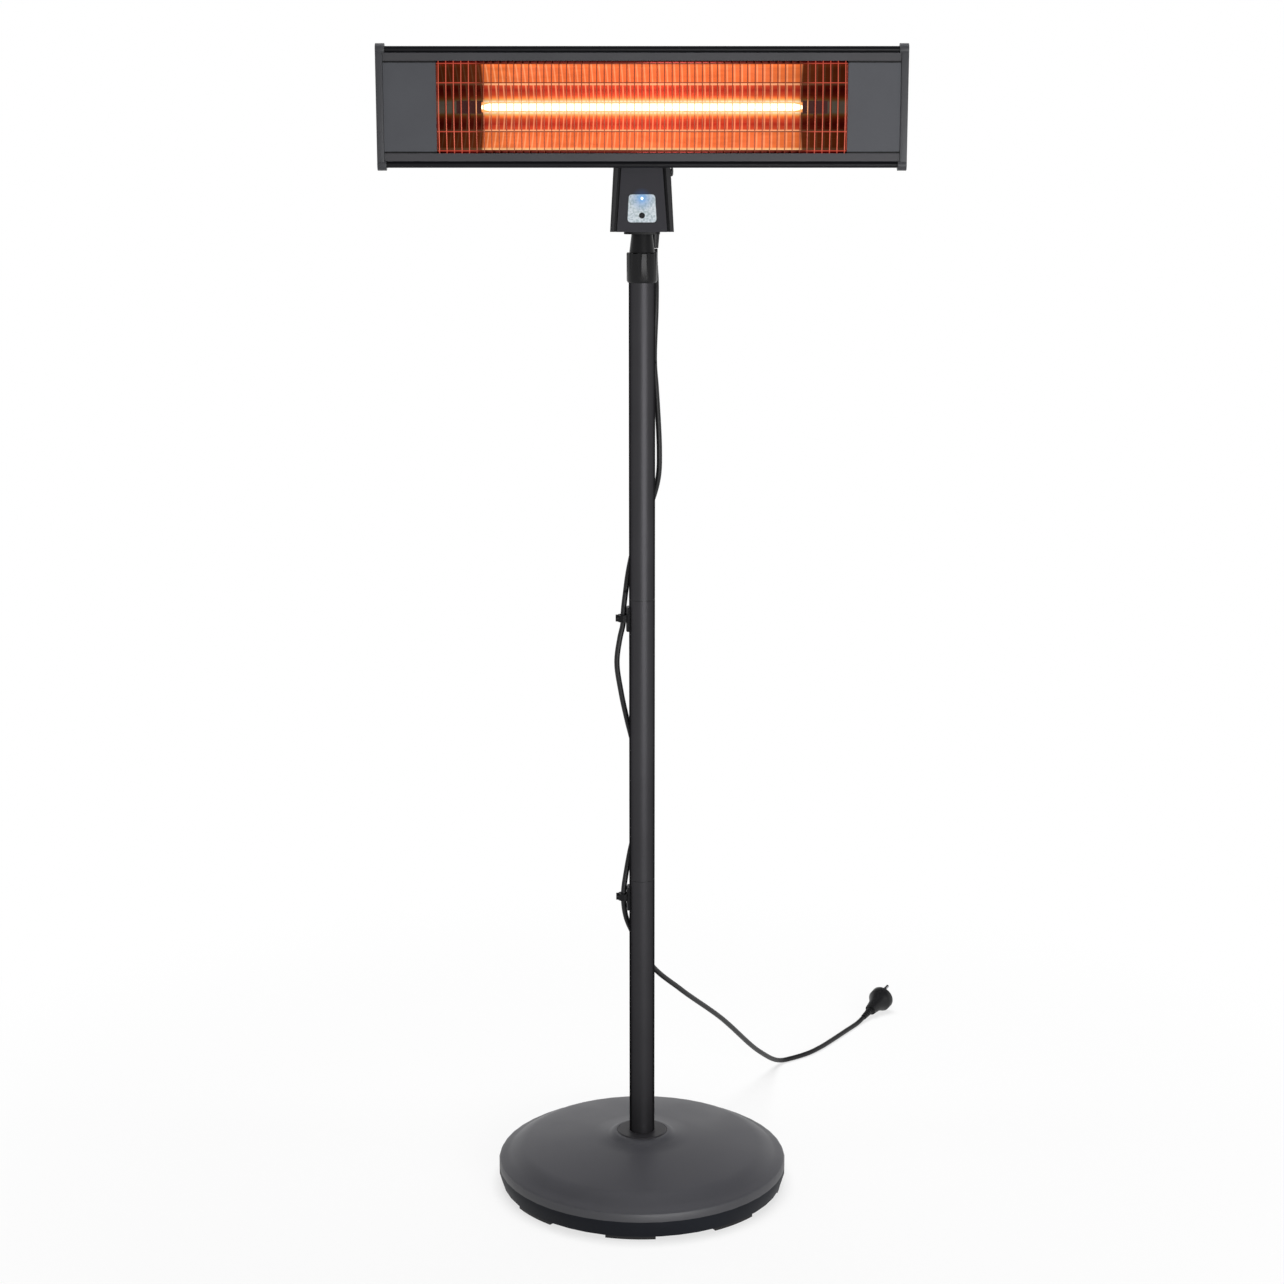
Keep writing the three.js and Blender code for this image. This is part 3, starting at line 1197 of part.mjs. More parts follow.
// the bent bracket under the rear corner, its arm and the hinge barrel
function tiltBracket() {
  const outline = housingOutline();
  const near = offsetOutline(outline, FIT_GAP);
  const far = offsetOutline(outline, FIT_GAP + BRACKET_THICKNESS);
  const lowerRear = outline.findIndex(([back, up]) => back === WALL_REAR_BACK && up < 0);
  const slant = new THREE.Vector2(
    outline[lowerRear][0] - outline[lowerRear - 1][0],
    outline[lowerRear][1] - outline[lowerRear - 1][1],
  ).normalize();
  const under = (points) => [
    points[lowerRear][0] - slant.x * BRACKET_UNDER,
    points[lowerRear][1] - slant.y * BRACKET_UNDER,
  ];
  const rearUp = outline[lowerRear + 1][1] + BRACKET_UP_REAR;
  const strip = [
    under(far),
    far[lowerRear],
    far[lowerRear + 1],
    [far[lowerRear + 1][0], rearUp],
    [near[lowerRear + 1][0], rearUp],
    near[lowerRear + 1],
    near[lowerRear],
    under(near),
  ];
  const hingeBack = HINGE_Y - HEAD_FRONT;
  const hingeUp = HINGE_Z - HEAD_MIDDLE;
  const middle = FIT_GAP + BRACKET_THICKNESS / 2;
  const seam = offsetOutline(outline, middle);
  const armFront = [
    seam[lowerRear][0] - slant.x * (BRACKET_UNDER / 2),
    seam[lowerRear][1] - slant.y * (BRACKET_UNDER / 2),
  ];
  const arm = [
    [hingeBack - ARM_FRONT_REACH, hingeUp],
    [hingeBack + ARM_REAR_REACH, hingeUp],
    seam[lowerRear + 1],
    seam[lowerRear],
    armFront,
  ];
  const barrel = alongX(rod(BARREL_RADIUS, -BARREL_HALF, BARREL_HALF, TUBE_SIDES))
    .translate(0, hingeBack, hingeUp);
  const bore = alongX(rod(HINGE_BOLT_RADIUS + FIT_GAP, -BARREL_HALF - 1, BARREL_HALF + 1))
    .translate(0, hingeBack, hingeUp);
  const screwHoles = [-1, 1].map((side) => alongY(
    rod(BRACKET_SCREW_RADIUS + FIT_GAP, HEAD_DEPTH - 1, HEAD_DEPTH + 2 * BRACKET_THICKNESS, 8),
  ).translate((side * BRACKET_SCREW_SPACING) / 2, 0, BRACKET_SCREW_UP));
  const body = join(
    extrudeX(strip, -BRACKET_WIDTH / 2, BRACKET_WIDTH / 2),
    extrudeX(arm, -ARM_WIDTH / 2, ARM_WIDTH / 2),
    barrel,
  );
  return cut(body, bore, ...screwHoles);
}

function bracketScrew() {
  const seat = HEAD_DEPTH + FIT_GAP + BRACKET_THICKNESS;
  return alongY(turned([
    [0, seat - BRACKET_SCREW_LENGTH],
    [BRACKET_SCREW_RADIUS, seat - BRACKET_SCREW_LENGTH],
    [BRACKET_SCREW_RADIUS, seat],
    [BRACKET_SCREW_HEAD_RADIUS, seat],
    [BRACKET_SCREW_CROWN_RADIUS, seat + BRACKET_SCREW_HEAD_HEIGHT],
    [0, seat + BRACKET_SCREW_HEAD_HEIGHT],
  ], 12));
}

function addHead(group) {
  add(group, 'head_housing', housing(), MATERIALS.anodised);
  add(group, 'head_grille', grille(), MATERIALS.steel);
  add(group, 'reflector', reflector(), MATERIALS.reflector);
  add(group, 'tilt_bracket', tiltBracket(), MATERIALS.blackSteel);

  for (const [side, word] of [[-1, 'left'], [1, 'right']]) {
    add(group, `end_cap_${word}`, endCap(side), MATERIALS.blackPlastic);
    add(group, `face_panel_${word}`, facePanel(side), MATERIALS.panel);
    add(group, `ceramic_end_${word}`, ceramicEnd(side), MATERIALS.ceramic);
    add(group, `lamp_holder_${word}`, lampHolder(side), MATERIALS.steel);
    const screw = add(group, `bracket_screw_${word}`, bracketScrew(), MATERIALS.blackSteel);
    screw.position.set((side * BRACKET_SCREW_SPACING) / 2, 0, BRACKET_SCREW_UP);
    for (const [up, level] of [[BEAD_UP, 'upper'], [-BEAD_UP, 'lower']]) {
      add(group, `cap_screw_${word}_${level}`, capScrew(side), MATERIALS.blackSteel)
        .position.set(0, BEAD_BACK, up);
    }
  }

  const glass = ring(LAMP_RADIUS - LAMP_GLASS, LAMP_RADIUS, -LAMP_LENGTH / 2, LAMP_LENGTH / 2, 16);
  add(group, 'lamp_tube', alongX(glass), MATERIALS.quartz).position.y = LAMP_BACK;
  const filament = rod(FILAMENT_RADIUS, -LAMP_LENGTH / 2, LAMP_LENGTH / 2, 10);
  add(group, 'lamp_filament', alongX(filament), MATERIALS.filament).position.y = LAMP_BACK;

  const terminalBack = HEAD_DEPTH - HEAD_WALL - FIT_GAP;
  add(group, 'terminal_block', block(
    TERMINAL_X - TERMINAL_WIDTH / 2,
    TERMINAL_X + TERMINAL_WIDTH / 2,
    terminalBack - TERMINAL_DEPTH,
    terminalBack,
    -TERMINAL_HEIGHT / 2,
    TERMINAL_HEIGHT / 2,
  ), MATERIALS.ceramic);
}

// ---------------------------------------------------------------- cable clips and cord

function cableClip() {
  const inner = POLE_RADIUS + FIT_GAP;
  const outer = inner + CLIP_THICKNESS;
  const half = CLIP_ANGLE / 2;
  const pad = extrude(shapeOf([
    ...arcPoints(0, 0, outer, 180 - half, 180 + half, 6),
    ...arcPoints(0, 0, inner, 180 + half, 180 - half, 6),
  ]), CLIP_HEIGHT).translate(0, 0, -CLIP_HEIGHT / 2);
  const low = -CLIP_JAW_HEIGHT / 2;
  const high = CLIP_JAW_HEIGHT / 2;
  const jaw = rod(CLIP_JAW_RADIUS, low, high).translate(CLIP_X, CLIP_Y, 0);
  const stem = block(CLIP_X, -inner - CLIP_THICKNESS / 2, -CLIP_JAW_RADIUS / 2, CLIP_Y, low, high);
  const knobEnd = CLIP_X - CLIP_JAW_RADIUS + CORD_RADIUS - CLIP_KNOB_LENGTH;
  const knob = alongX(rod(CLIP_KNOB_RADIUS, knobEnd, CLIP_X - CORD_RADIUS))
    .translate(0, CLIP_Y, 0);
  const bore = rod(CLIP_JAW_BORE, -CLIP_HEIGHT, CLIP_HEIGHT).translate(CLIP_X, CLIP_Y, 0);
  const mouth = block(
    CLIP_X - CLIP_MOUTH / 2,
    CLIP_X + CLIP_MOUTH / 2,
    CLIP_Y,
    CLIP_Y + 2 * CLIP_JAW_RADIUS,
    low - 1,
    high + 1,
  );
  return cut(join(pad, jaw, stem, knob), bore, mouth);
}

// on the floor the cord and the plug lie this far clear of it
const FLOOR_LIFT = 0.3;
const CORD_LIE = CORD_RADIUS + FLOOR_LIFT;

// the cord's route from the gland to the plug, round the pole and through the clips
const CORD_ROUTE = [
  [16, 25, 1226.9],
  [16.2, 24.6, 1210.9],
  [17.5, 18.5, 1186.9],
  [17.4, 14.2, 1156.9],
  [15.4, 15.2, 1087.9],
  [17.9, 12.5, 1052.9],
  [21.8, 9, 976.9],
  [20.5, 12.5, 942.9],
  [12.5, 19.5, 910.9],
  [1, 22.5, 882.9],
  [-10, 19.8, 852.9],
  [-17, 13, 822.9],
  [-20.6, 8, 797.9],
  [-23.6, 4.8, 771.9],
  [-24.2, 4.3, 754.9],
  [-28, 3, 737.9],
  [-32, 2, 705.9],
  [-27, 6, 666.9],
  [-19.5, 12, 628.9],
  [-11, 19.5, 590.9],
  [-4, 22.5, 542.9],
  [-6, 22, 490.9],
  [-15, 16.5, 452.9],
  [-21, 9, 420.9],
  [-23.8, 4.7, 400.9],
  [-23.9, 4.8, 384.9],
  [-20.5, 11, 360.9],
  [-9, 21, 330.9],
  [12, 32, 288.9],
  [51.5, 84, 235.9],
  [109, 184, 157.6],
  [171.5, 327, 50.5],
  [207, 404, 6],
  [226, 419, CORD_LIE],
  [250, 438, CORD_LIE],
  [271, 463, CORD_LIE],
  [293, 496, CORD_LIE],
  [315, 531, CORD_LIE],
  [336, 564, 4.2],
  [346, 580, PLUG_TAIL_UP],
];

function cordTube() {
  const curve = new THREE.CatmullRomCurve3(
    CORD_ROUTE.map(([x, y, z]) => new THREE.Vector3(x, y, z)),
    false,
    'centripetal',
  );
  const circle = arcPoints(0, 0, CORD_RADIUS, 0, 360, CORD_SIDES).slice(0, CORD_SIDES);
  return new THREE.ExtrudeGeometry(shapeOf(circle), {
    steps: CORD_STEPS,
    extrudePath: curve,
    bevelEnabled: false,
  });
}

function powerPlug() {
  const gripStart = PLUG_BOOT_LENGTH;
  const faceStart = gripStart + PLUG_GRIP_LENGTH;
  const faceEnd = faceStart + PLUG_FACE_LENGTH;
  const body = turned([
    [0, 0],
    [PLUG_BOOT_TIP_RADIUS, 0],
    [PLUG_BOOT_ROOT_RADIUS, gripStart],
    [PLUG_GRIP_RADIUS, gripStart + 2 * PLUG_EDGE],
    [PLUG_WAIST_RADIUS, gripStart + PLUG_WAIST],
    [PLUG_RADIUS - PLUG_EDGE, faceStart],
    [PLUG_RADIUS, faceStart + 2 * PLUG_EDGE],
    [PLUG_RADIUS, faceEnd - PLUG_EDGE],
    [PLUG_RADIUS - PLUG_EDGE, faceEnd],
    [0, faceEnd],
  ], 24);
  const pins = [-1, 1].map((side) => rod(
    PLUG_PIN_RADIUS,
    faceEnd - 1,
    faceEnd + PLUG_PIN_LENGTH,
    10,
  ).translate((side * PLUG_PIN_SPACING) / 2, 0, 0));
  return join(body, ...pins);
}

function addCord(group) {
  for (const [name, joint] of [['upper', UPPER_JOINT], ['lower', LOWER_JOINT]]) {
    add(group, `cable_clip_${name}`, cableClip(), MATERIALS.blackPlastic)
      .position.z = joint - CLIP_BELOW_JOINT;
  }
  add(group, 'power_cord', cordTube(), MATERIALS.rubber);

  // the plug lies on its side, on the rim of its face end, with the tail raised
  const rim = PLUG_BOOT_LENGTH + PLUG_GRIP_LENGTH + 2 * PLUG_EDGE;
  const tilt = Math.atan2(PLUG_RADIUS, rim)
    - Math.asin((PLUG_TAIL_UP - FLOOR_LIFT) / Math.hypot(PLUG_RADIUS, rim));
  const heading = THREE.MathUtils.degToRad(PLUG_HEADING);
  const plug = add(group, 'power_plug', powerPlug(), MATERIALS.rubber);
  plug.rotation.set(0, Math.PI / 2 - tilt, heading, 'ZYX');
  const ahead = new THREE.Vector3(0, 0, 2 * FIT_GAP).applyEuler(plug.rotation);
  plug.position.set(...CORD_ROUTE[CORD_ROUTE.length - 1]).add(ahead);
}

// ---------------------------------------------------------------- assembly

addBase(tower);
addPole(tower);
addMast(tower);
addControlBox(tower);
addHead(groupAt(tower, 0, HEAD_FRONT, HEAD_MIDDLE));
addCord(tower);

export default tower;
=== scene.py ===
"""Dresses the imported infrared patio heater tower.

Metres in the frame of the CAD: +Z up, the front of the heater towards -Y, +X to its right.
"""

import json
import math

import bpy
from mathutils import Matrix, Vector


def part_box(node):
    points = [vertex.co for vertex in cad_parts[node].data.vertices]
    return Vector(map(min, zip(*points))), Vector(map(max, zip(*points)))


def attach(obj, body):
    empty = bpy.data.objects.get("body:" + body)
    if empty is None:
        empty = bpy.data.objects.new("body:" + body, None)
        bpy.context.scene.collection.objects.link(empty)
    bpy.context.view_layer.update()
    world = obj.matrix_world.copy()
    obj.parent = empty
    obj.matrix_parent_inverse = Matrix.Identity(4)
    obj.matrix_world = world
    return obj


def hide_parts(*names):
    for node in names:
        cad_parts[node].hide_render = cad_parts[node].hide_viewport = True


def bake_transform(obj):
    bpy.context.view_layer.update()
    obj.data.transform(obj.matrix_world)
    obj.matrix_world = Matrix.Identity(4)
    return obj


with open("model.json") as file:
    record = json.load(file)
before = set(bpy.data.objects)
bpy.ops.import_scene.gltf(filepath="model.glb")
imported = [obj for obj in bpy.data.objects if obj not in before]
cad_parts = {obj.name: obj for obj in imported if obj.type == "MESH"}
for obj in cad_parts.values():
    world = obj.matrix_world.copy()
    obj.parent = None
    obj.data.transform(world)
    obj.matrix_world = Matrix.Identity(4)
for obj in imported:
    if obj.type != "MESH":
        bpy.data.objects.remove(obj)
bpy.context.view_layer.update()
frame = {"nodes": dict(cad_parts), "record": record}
nodes = frame["nodes"]

MM = 0.001


# ---------------------------------------------------------------- camera

CAMERA_AT = (0, -3.1, 1.4029)
CAMERA_PITCH = 12.2
FOCAL_PX = 2490
IMAGE_PX = 1284
SENSOR = 36


def make_camera():
    data = bpy.data.cameras.new("camera")
    data.sensor_width = SENSOR
    data.lens = FOCAL_PX / IMAGE_PX * SENSOR
    camera = bpy.data.objects.new("camera", data)
    camera.location = CAMERA_AT
    camera.rotation_euler = (math.radians(90 - CAMERA_PITCH), 0, 0)
    bpy.context.scene.collection.objects.link(camera)
    bpy.context.scene.camera = camera


make_camera()


# ---------------------------------------------------------------- meshes

def add_mesh(name, verts, faces, smooth=True):
    mesh = bpy.data.meshes.new(name)
    mesh.from_pydata([tuple(v) for v in verts], [], faces)
    mesh.update()
    if smooth:
        mesh.polygons.foreach_set("use_smooth", [True] * len(mesh.polygons))
    piece = bpy.data.objects.new(name, mesh)
    bpy.context.scene.collection.objects.link(piece)
    return piece


def sharpen(piece, angle=35):
    """Keeps the edges of a smooth mesh that turn by more than the angle sharp."""
    piece.data.set_sharp_from_angle(angle=math.radians(angle))
    return piece


def ring_faces(rings, sides, closed_ends=True):
    """Quads between rings of vertices that follow each other, with a cap on each end."""
    faces = []
    for i in range(rings - 1):
        for k in range(sides):
            a = i * sides + k
            b = i * sides + (k + 1) % sides
            faces.append((a, b, b + sides, a + sides))
    if closed_ends:
        faces.append(tuple(reversed(range(sides))))
        faces.append(tuple((rings - 1) * sides + k for k in range(sides)))
    return faces


def sweep(points, radius, sides):
    """The vertices and faces of a round tube along the points, which are close together."""
    verts = []
    tangent = (points[1] - points[0]).normalized()
    side = tangent.orthogonal().normalized()
    for i, point in enumerate(points):
        ahead = points[min(i + 1, len(points) - 1)]
        behind = points[max(i - 1, 0)]
        tangent = (ahead - behind).normalized()
        side = (side - tangent * side.dot(tangent)).normalized()
        up = tangent.cross(side)
        for k in range(sides):
            angle = 2 * math.pi * k / sides
            verts.append(point + radius * (math.cos(angle) * side + math.sin(angle) * up))
    return verts, ring_faces(len(points), sides)


def turned(name, profile, sides, place=Matrix.Identity(4), angle=35):
    """A profile of (radius, height) turned about Z; its ends lie on the axis."""
    verts = [place @ Vector((0, 0, profile[0][1]))]
    for radius, height in profile[1:-1]:
        for k in range(sides):
            turn = 2 * math.pi * k / sides
            verts.append(place @ Vector((radius * math.cos(turn), radius * math.sin(turn), height)))
    verts.append(place @ Vector((0, 0, profile[-1][1])))
    rings = len(profile) - 2
    faces = [tuple(v + 1 for v in face) for face in ring_faces(rings, sides, False)]
    last = len(verts) - 1
    for k in range(sides):
        after = (k + 1) % sides
        faces.append((0, 1 + after, 1 + k))
        faces.append((last, last - sides + k, last - sides + after))
    return sharpen(add_mesh(name, verts, faces), angle)


def join_pieces(name, parts):
    """Several (verts, faces) as one mesh."""
    verts, faces = [], []
    for part_verts, part_faces in parts:
        start = len(verts)
        verts += part_verts
        faces += [tuple(v + start for v in face) for face in part_faces]
    return add_mesh(name, verts, faces)


# ---------------------------------------------------------------- cord and plug

CORD_DIAMETER = 7 * MM
CORD_RADIUS = CORD_DIAMETER / 2
CORD_LIE = 3.8
PLUG_TAIL_UP = 7
CORD_STEP = 4 * MM
CORD_SIDES = 14

# the route in the CAD's source, in millimetres
CORD_ROUTE = [
    (16, 25, 1226.9),
    (16.2, 24.6, 1210.9),
    (17.5, 18.5, 1186.9),
    (17.4, 14.2, 1156.9),
    (15.4, 15.2, 1087.9),
    (17.9, 12.5, 1052.9),
    (21.8, 9, 976.9),
    (20.5, 12.5, 942.9),
    (12.5, 19.5, 910.9),
    (1, 22.5, 882.9),
    (-10, 19.8, 852.9),
    (-17, 13, 822.9),
    (-20.6, 8, 797.9),
    (-23.6, 4.8, 771.9),
    (-24.2, 4.3, 754.9),
    (-28, 3, 737.9),
    (-32, 2, 705.9),
    (-27, 6, 666.9),
    (-19.5, 12, 628.9),
    (-11, 19.5, 590.9),
    (-4, 22.5, 542.9),
    (-6, 22, 490.9),
    (-15, 16.5, 452.9),
    (-21, 9, 420.9),
    (-23.8, 4.7, 400.9),
    (-23.9, 4.8, 384.9),
    (-20.5, 11, 360.9),
    (-9, 21, 330.9),
    (12, 32, 288.9),
    (51.5, 84, 235.9),
    (109, 184, 157.6),
    (171.5, 327, 50.5),
    (207, 404, 6),
    (226, 419, CORD_LIE),
    (250, 438, CORD_LIE),
    (271, 463, CORD_LIE),
    (293, 496, CORD_LIE),
    (315, 531, CORD_LIE),
    (336, 564, 4.2),
    (346, 580, PLUG_TAIL_UP),
]
SWIVEL_END = 4  # the point of the route where the mast's turning has died out
SLIDE_END = 12  # the point where the mast's lift has died out


def centripetal(points):
    """A smooth curve through the points, as a list of points about CORD_STEP apart, and
    for each given point its place in that list."""
    ends = [2 * points[0] - points[1], *points, 2 * points[-1] - points[-2]]
    line, places = [], []
    for i in range(1, len(ends) - 2):
        p = ends[i - 1 : i + 3]
        t = [0]
        for a, b in zip(p, p[1:]):
            t.append(t[-1] + math.sqrt((b - a).length))
        places.append(len(line))
        steps = max(2, round((p[2] - p[1]).length / CORD_STEP))
        for k in range(steps):
            u = t[1] + (t[2] - t[1]) * k / steps
            a = [
                p[j] * ((t[j + 1] - u) / (t[j + 1] - t[j]))
                + p[j + 1] * ((u - t[j]) / (t[j + 1] - t[j]))
                for j in range(3)
            ]
            b = [
                a[j] * ((t[j + 2] - u) / (t[j + 2] - t[j]))
                + a[j + 1] * ((u - t[j]) / (t[j + 2] - t[j]))
                for j in range(2)
            ]
            line.append(
                b[0] * ((t[2] - u) / (t[2] - t[1])) + b[1] * ((u - t[1]) / (t[2] - t[1]))
            )
    places.append(len(line))
    line.append(points[-1])
    return line, places


def make_cords():
    """The cord as three lengths that meet end to end."""
    points = [Vector(p) * MM for p in CORD_ROUTE]
    line, places = centripetal(points)
    cuts = [0, places[SWIVEL_END], places[SLIDE_END], len(line) - 1]
    cords = []
    for i, name in enumerate(("cord_upper", "cord_middle", "cord_lower")):
        part = line[cuts[i] : cuts[i + 1] + 1]
        verts, faces = sweep(part, CORD_RADIUS, CORD_SIDES)
        cord = add_mesh(name, verts, faces)
        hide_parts("power_cord")
        cords.append((cord, part))
    return cords


cords = make_cords()


# ---------------------------------------------------------------- materials

def new_material(name):
    material = bpy.data.materials.new(name)
    material.use_nodes = True
    tree = material.node_tree
    return material, tree, tree.nodes["Principled BSDF"]


def feed(tree, target, source):
    """Links a socket to the target, or sets a plain number on it."""
    if isinstance(source, (int, float)):
        target.default_value = source
    else:
        tree.links.new(source, target)


def calc(tree, operation, first, second=0.0):
    node = tree.nodes.new("ShaderNodeMath")
    node.operation = operation
    feed(tree, node.inputs[0], first)
    feed(tree, node.inputs[1], second)
    return node.outputs["Value"]


def coordinates(tree, kind="Object"):
    """The x, y and z of a point in the frame of the part."""
    place = tree.nodes.new("ShaderNodeTexCoord")
    split = tree.nodes.new("ShaderNodeSeparateXYZ")
    tree.links.new(place.outputs[kind], split.inputs["Vector"])
    return split.outputs["X"], split.outputs["Y"], split.outputs["Z"]


def off_centre(tree, value, centre, reach):
    """How far a coordinate lies from the centre, as a share of the reach."""
    return calc(tree, "DIVIDE", calc(tree, "ABSOLUTE", calc(tree, "SUBTRACT", value, centre)), reach)


def distance_from(tree, point, reach):
    """How far a point lies from a given one, as a share of the reach."""
    place = tree.nodes.new("ShaderNodeTexCoord")
    away = tree.nodes.new("ShaderNodeVectorMath")
    away.operation = "DISTANCE"
    away.inputs[1].default_value = point
    tree.links.new(place.outputs["Object"], away.inputs[0])
    return calc(tree, "DIVIDE", away.outputs["Value"], reach)


def ramp(tree, value, stops):
    """A colour for each value, from stops of (value, colour)."""
    node = tree.nodes.new("ShaderNodeValToRGB")
    elements = node.color_ramp.elements
    while len(elements) < len(stops):
        elements.new(0.5)
    for element, (position, colour) in zip(elements, stops):
        element.position = position
        element.color = (*colour, 1)
    tree.links.new(value, node.inputs["Fac"])
    return node.outputs["Color"]


def levels(tree, value, low, high, start=0.3, end=0.7):
    """Maps start to end of a value to low to high."""
    node = tree.nodes.new("ShaderNodeMapRange")
    feed(tree, node.inputs["Value"], value)
    feed(tree, node.inputs["From Min"], start)
    feed(tree, node.inputs["From Max"], end)
    feed(tree, node.inputs["To Min"], low)
    feed(tree, node.inputs["To Max"], high)
    return node.outputs["Result"]


def blend_colours(tree, share, first, second):
    node = tree.nodes.new("ShaderNodeMix")
    node.data_type = "RGBA"
    feed(tree, node.inputs["Factor"], share)
    for socket, colour in ((node.inputs["A"], first), (node.inputs["B"], second)):
        if isinstance(colour, tuple):
            socket.default_value = (*colour, 1)
        else:
            tree.links.new(colour, socket)
    return node.outputs["Result"]


def object_noise(tree, scale, detail=4, stretch=(1, 1, 1)):
    """A noise texture in the frame of the part; scale is in cells per metre."""
    place = tree.nodes.new("ShaderNodeTexCoord")
    mapping = tree.nodes.new("ShaderNodeMapping")
    mapping.inputs["Scale"].default_value = stretch
    noise = tree.nodes.new("ShaderNodeTexNoise")
    noise.inputs["Scale"].default_value = scale
    noise.inputs["Detail"].default_value = detail
    tree.links.new(place.outputs["Object"], mapping.inputs["Vector"])
    tree.links.new(mapping.outputs["Vector"], noise.inputs["Vector"])
    return noise.outputs["Fac"]


def two_tones(tree, noise, colour, tone):
    dark = tuple(c * (1 - tone) for c in colour)
    light = tuple(c * (1 + tone) for c in colour)
    return ramp(tree, noise, [(0.35, dark), (0.65, light)])


def add_bump(tree, shader, source, height, strength=1.0):
    bump = tree.nodes.new("ShaderNodeBump")
    bump.inputs["Strength"].default_value = strength
    bump.inputs["Distance"].default_value = height
    tree.links.new(source, bump.inputs["Height"])
    tree.links.new(bump.outputs["Normal"], shader.inputs["Normal"])


SLOW_SCALE = 14  # cells per metre of the drift in tone and gloss
GRAIN_DETAIL = 3
ROUGHNESS_DRIFT = 0.04


def slow_drift(tree):
    """A noise of broad patches, by which tone and gloss vary a little over a surface."""
    return object_noise(tree, SLOW_SCALE, GRAIN_DETAIL)


def coat(tree, shader, colour, roughness, specular, grain, height, stretch=(1, 1, 1)):
    """Sets the colour, the gloss and the fine relief of a surface."""
    feed(tree, shader.inputs["Base Color"], colour)
    feed(tree, shader.inputs["Roughness"], roughness)
    shader.inputs["Specular IOR Level"].default_value = specular
    add_bump(tree, shader, object_noise(tree, grain, GRAIN_DETAIL, stretch), height)


def coated(name, colour, roughness, grain, height, tone=0.12, metallic=0.0, specular=0.5):
    """A surface with a fine grain in its relief and a slow drift in its tone and gloss."""
    material, tree, shader = new_material(name)
    shader.inputs["Metallic"].default_value = metallic
    slow = slow_drift(tree)
    gloss = levels(tree, slow, roughness - ROUGHNESS_DRIFT, roughness + ROUGHNESS_DRIFT)
    coat(tree, shader, two_tones(tree, slow, colour, tone), gloss, specular, grain, height)
    return material


def glowing(name, colour, strength):
    """A lit surface; its light is the same all over."""
    material, _, shader = new_material(name)
    shader.inputs["Base Color"].default_value = (*colour, 1)
    shader.inputs["Emission Color"].default_value = (*colour, 1)
    shader.inputs["Emission Strength"].default_value = strength
    shader.inputs["Roughness"].default_value = 0.5
    return material


def box_middle(node):
    low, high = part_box(node)
    return (low + high) / 2


HEAD_MIDDLE = box_middle("head_housing")
HEAD_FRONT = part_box("head_housing")[0].y
BEAD_START = 63.2 * MM  # from the middle of the head to the foot of the dark bead
BEAD_DEPTH = 13 * MM
# black of the bead, partly painted shade: it stands in for the dark that the rounded bead reflects
BEAD_BLACK = (0.008, 0.008, 0.01)
BEAD_ROUGHNESS = 0.28
BRUSH_STRETCH = (0.02, 1, 1)  # the brushing runs along the head
TAB_BACK = 1.2 * MM  # from the lips' front to where the face panels' tabs begin
TAB_BLACK = (0.006, 0.006, 0.007)


def make_housing_material():
    """Brushed anodised metal, with a black gloss coat along the bead at each edge; the black
    is partly painted shade, for the dark that the rounded bead reflects.
    """
    material, tree, shader = new_material("anodised_housing")
    slow = slow_drift(tree)
    _, back, up = coordinates(tree)
    beyond = calc(tree, "GREATER_THAN", off_centre(tree, up, HEAD_MIDDLE.z, BEAD_START), 1)
    near = calc(tree, "LESS_THAN", back, HEAD_FRONT + BEAD_DEPTH)
    bead = calc(tree, "MULTIPLY", beyond, near)
    plain = two_tones(tree, slow, (0.095, 0.094, 0.101), 0.06)
    colour = blend_colours(tree, bead, plain, BEAD_BLACK)
    gloss = levels(tree, bead, levels(tree, slow, 0.4, 0.46), BEAD_ROUGHNESS, 0, 1)
    coat(tree, shader, colour, gloss, 0.14, 900, 0.02 * MM, BRUSH_STRETCH)
    return material


MOUTH = 50 * MM  # half the height of the reflector's curve
LIT_HALF = 245 * MM  # half its length
STREAK_PITCH = 8.98 * MM  # between the streaks across the reflector, painted reflections of the wires
STREAK_BEND = 1.5  # the bend of a streak at the edges of the mouth, as a phase in radians
STREAK_SHARPNESS = 14
STREAK_SHARE = 0.75
WHITE_HOT = (1.0, 0.9, 0.66)
YELLOW_HOT = (1.0, 0.5, 0.14)
ORANGE_HOT = (1.0, 0.2, 0.045)
ORANGE = (0.77, 0.16, 0.04)
RED_HOT = (0.6, 0.068, 0.023)
RED = (0.38, 0.025, 0.013)
# the colour of the painted reflections of the wires
STREAK = (1.0, 0.42, 0.2)

# the lamp's reflection on the reflector, painted as its own glow, from its lower edge (0) to its
# upper edge (1)
GLOW = [
    (0.0, (1.0, 0.62, 0.3)),
    (0.016, (1.0, 0.5, 0.2)),
    (0.03, ORANGE),
    (0.205, ORANGE),
    (0.214, STREAK),
    (0.23, STREAK),
    (0.238, RED_HOT),
    (0.3, RED),
    (0.36, RED_HOT),
    (0.39, ORANGE_HOT),
    (0.415, YELLOW_HOT),
    (0.44, WHITE_HOT),
    (0.56, WHITE_HOT),
    (0.585, YELLOW_HOT),
    (0.61, ORANGE_HOT),
    (0.64, RED_HOT),
    (0.7, RED),
    (0.755, RED_HOT),
    (0.763, STREAK),
    (0.779, STREAK),
    (0.79, ORANGE),
    (0.955, ORANGE),
    (0.985, ORANGE_HOT),
]

# how much of that painted glow there is, from the middle of the lamp (0) to the reflector's end (1)
LIT_ALONG = [
    (0.74, (1, 1, 1)),
    (0.775, (0.75, 0.75, 0.75)),
    (0.785, (0.12, 0.1, 0.1)),
    (1.0, (0.06, 0.05, 0.05)),
]


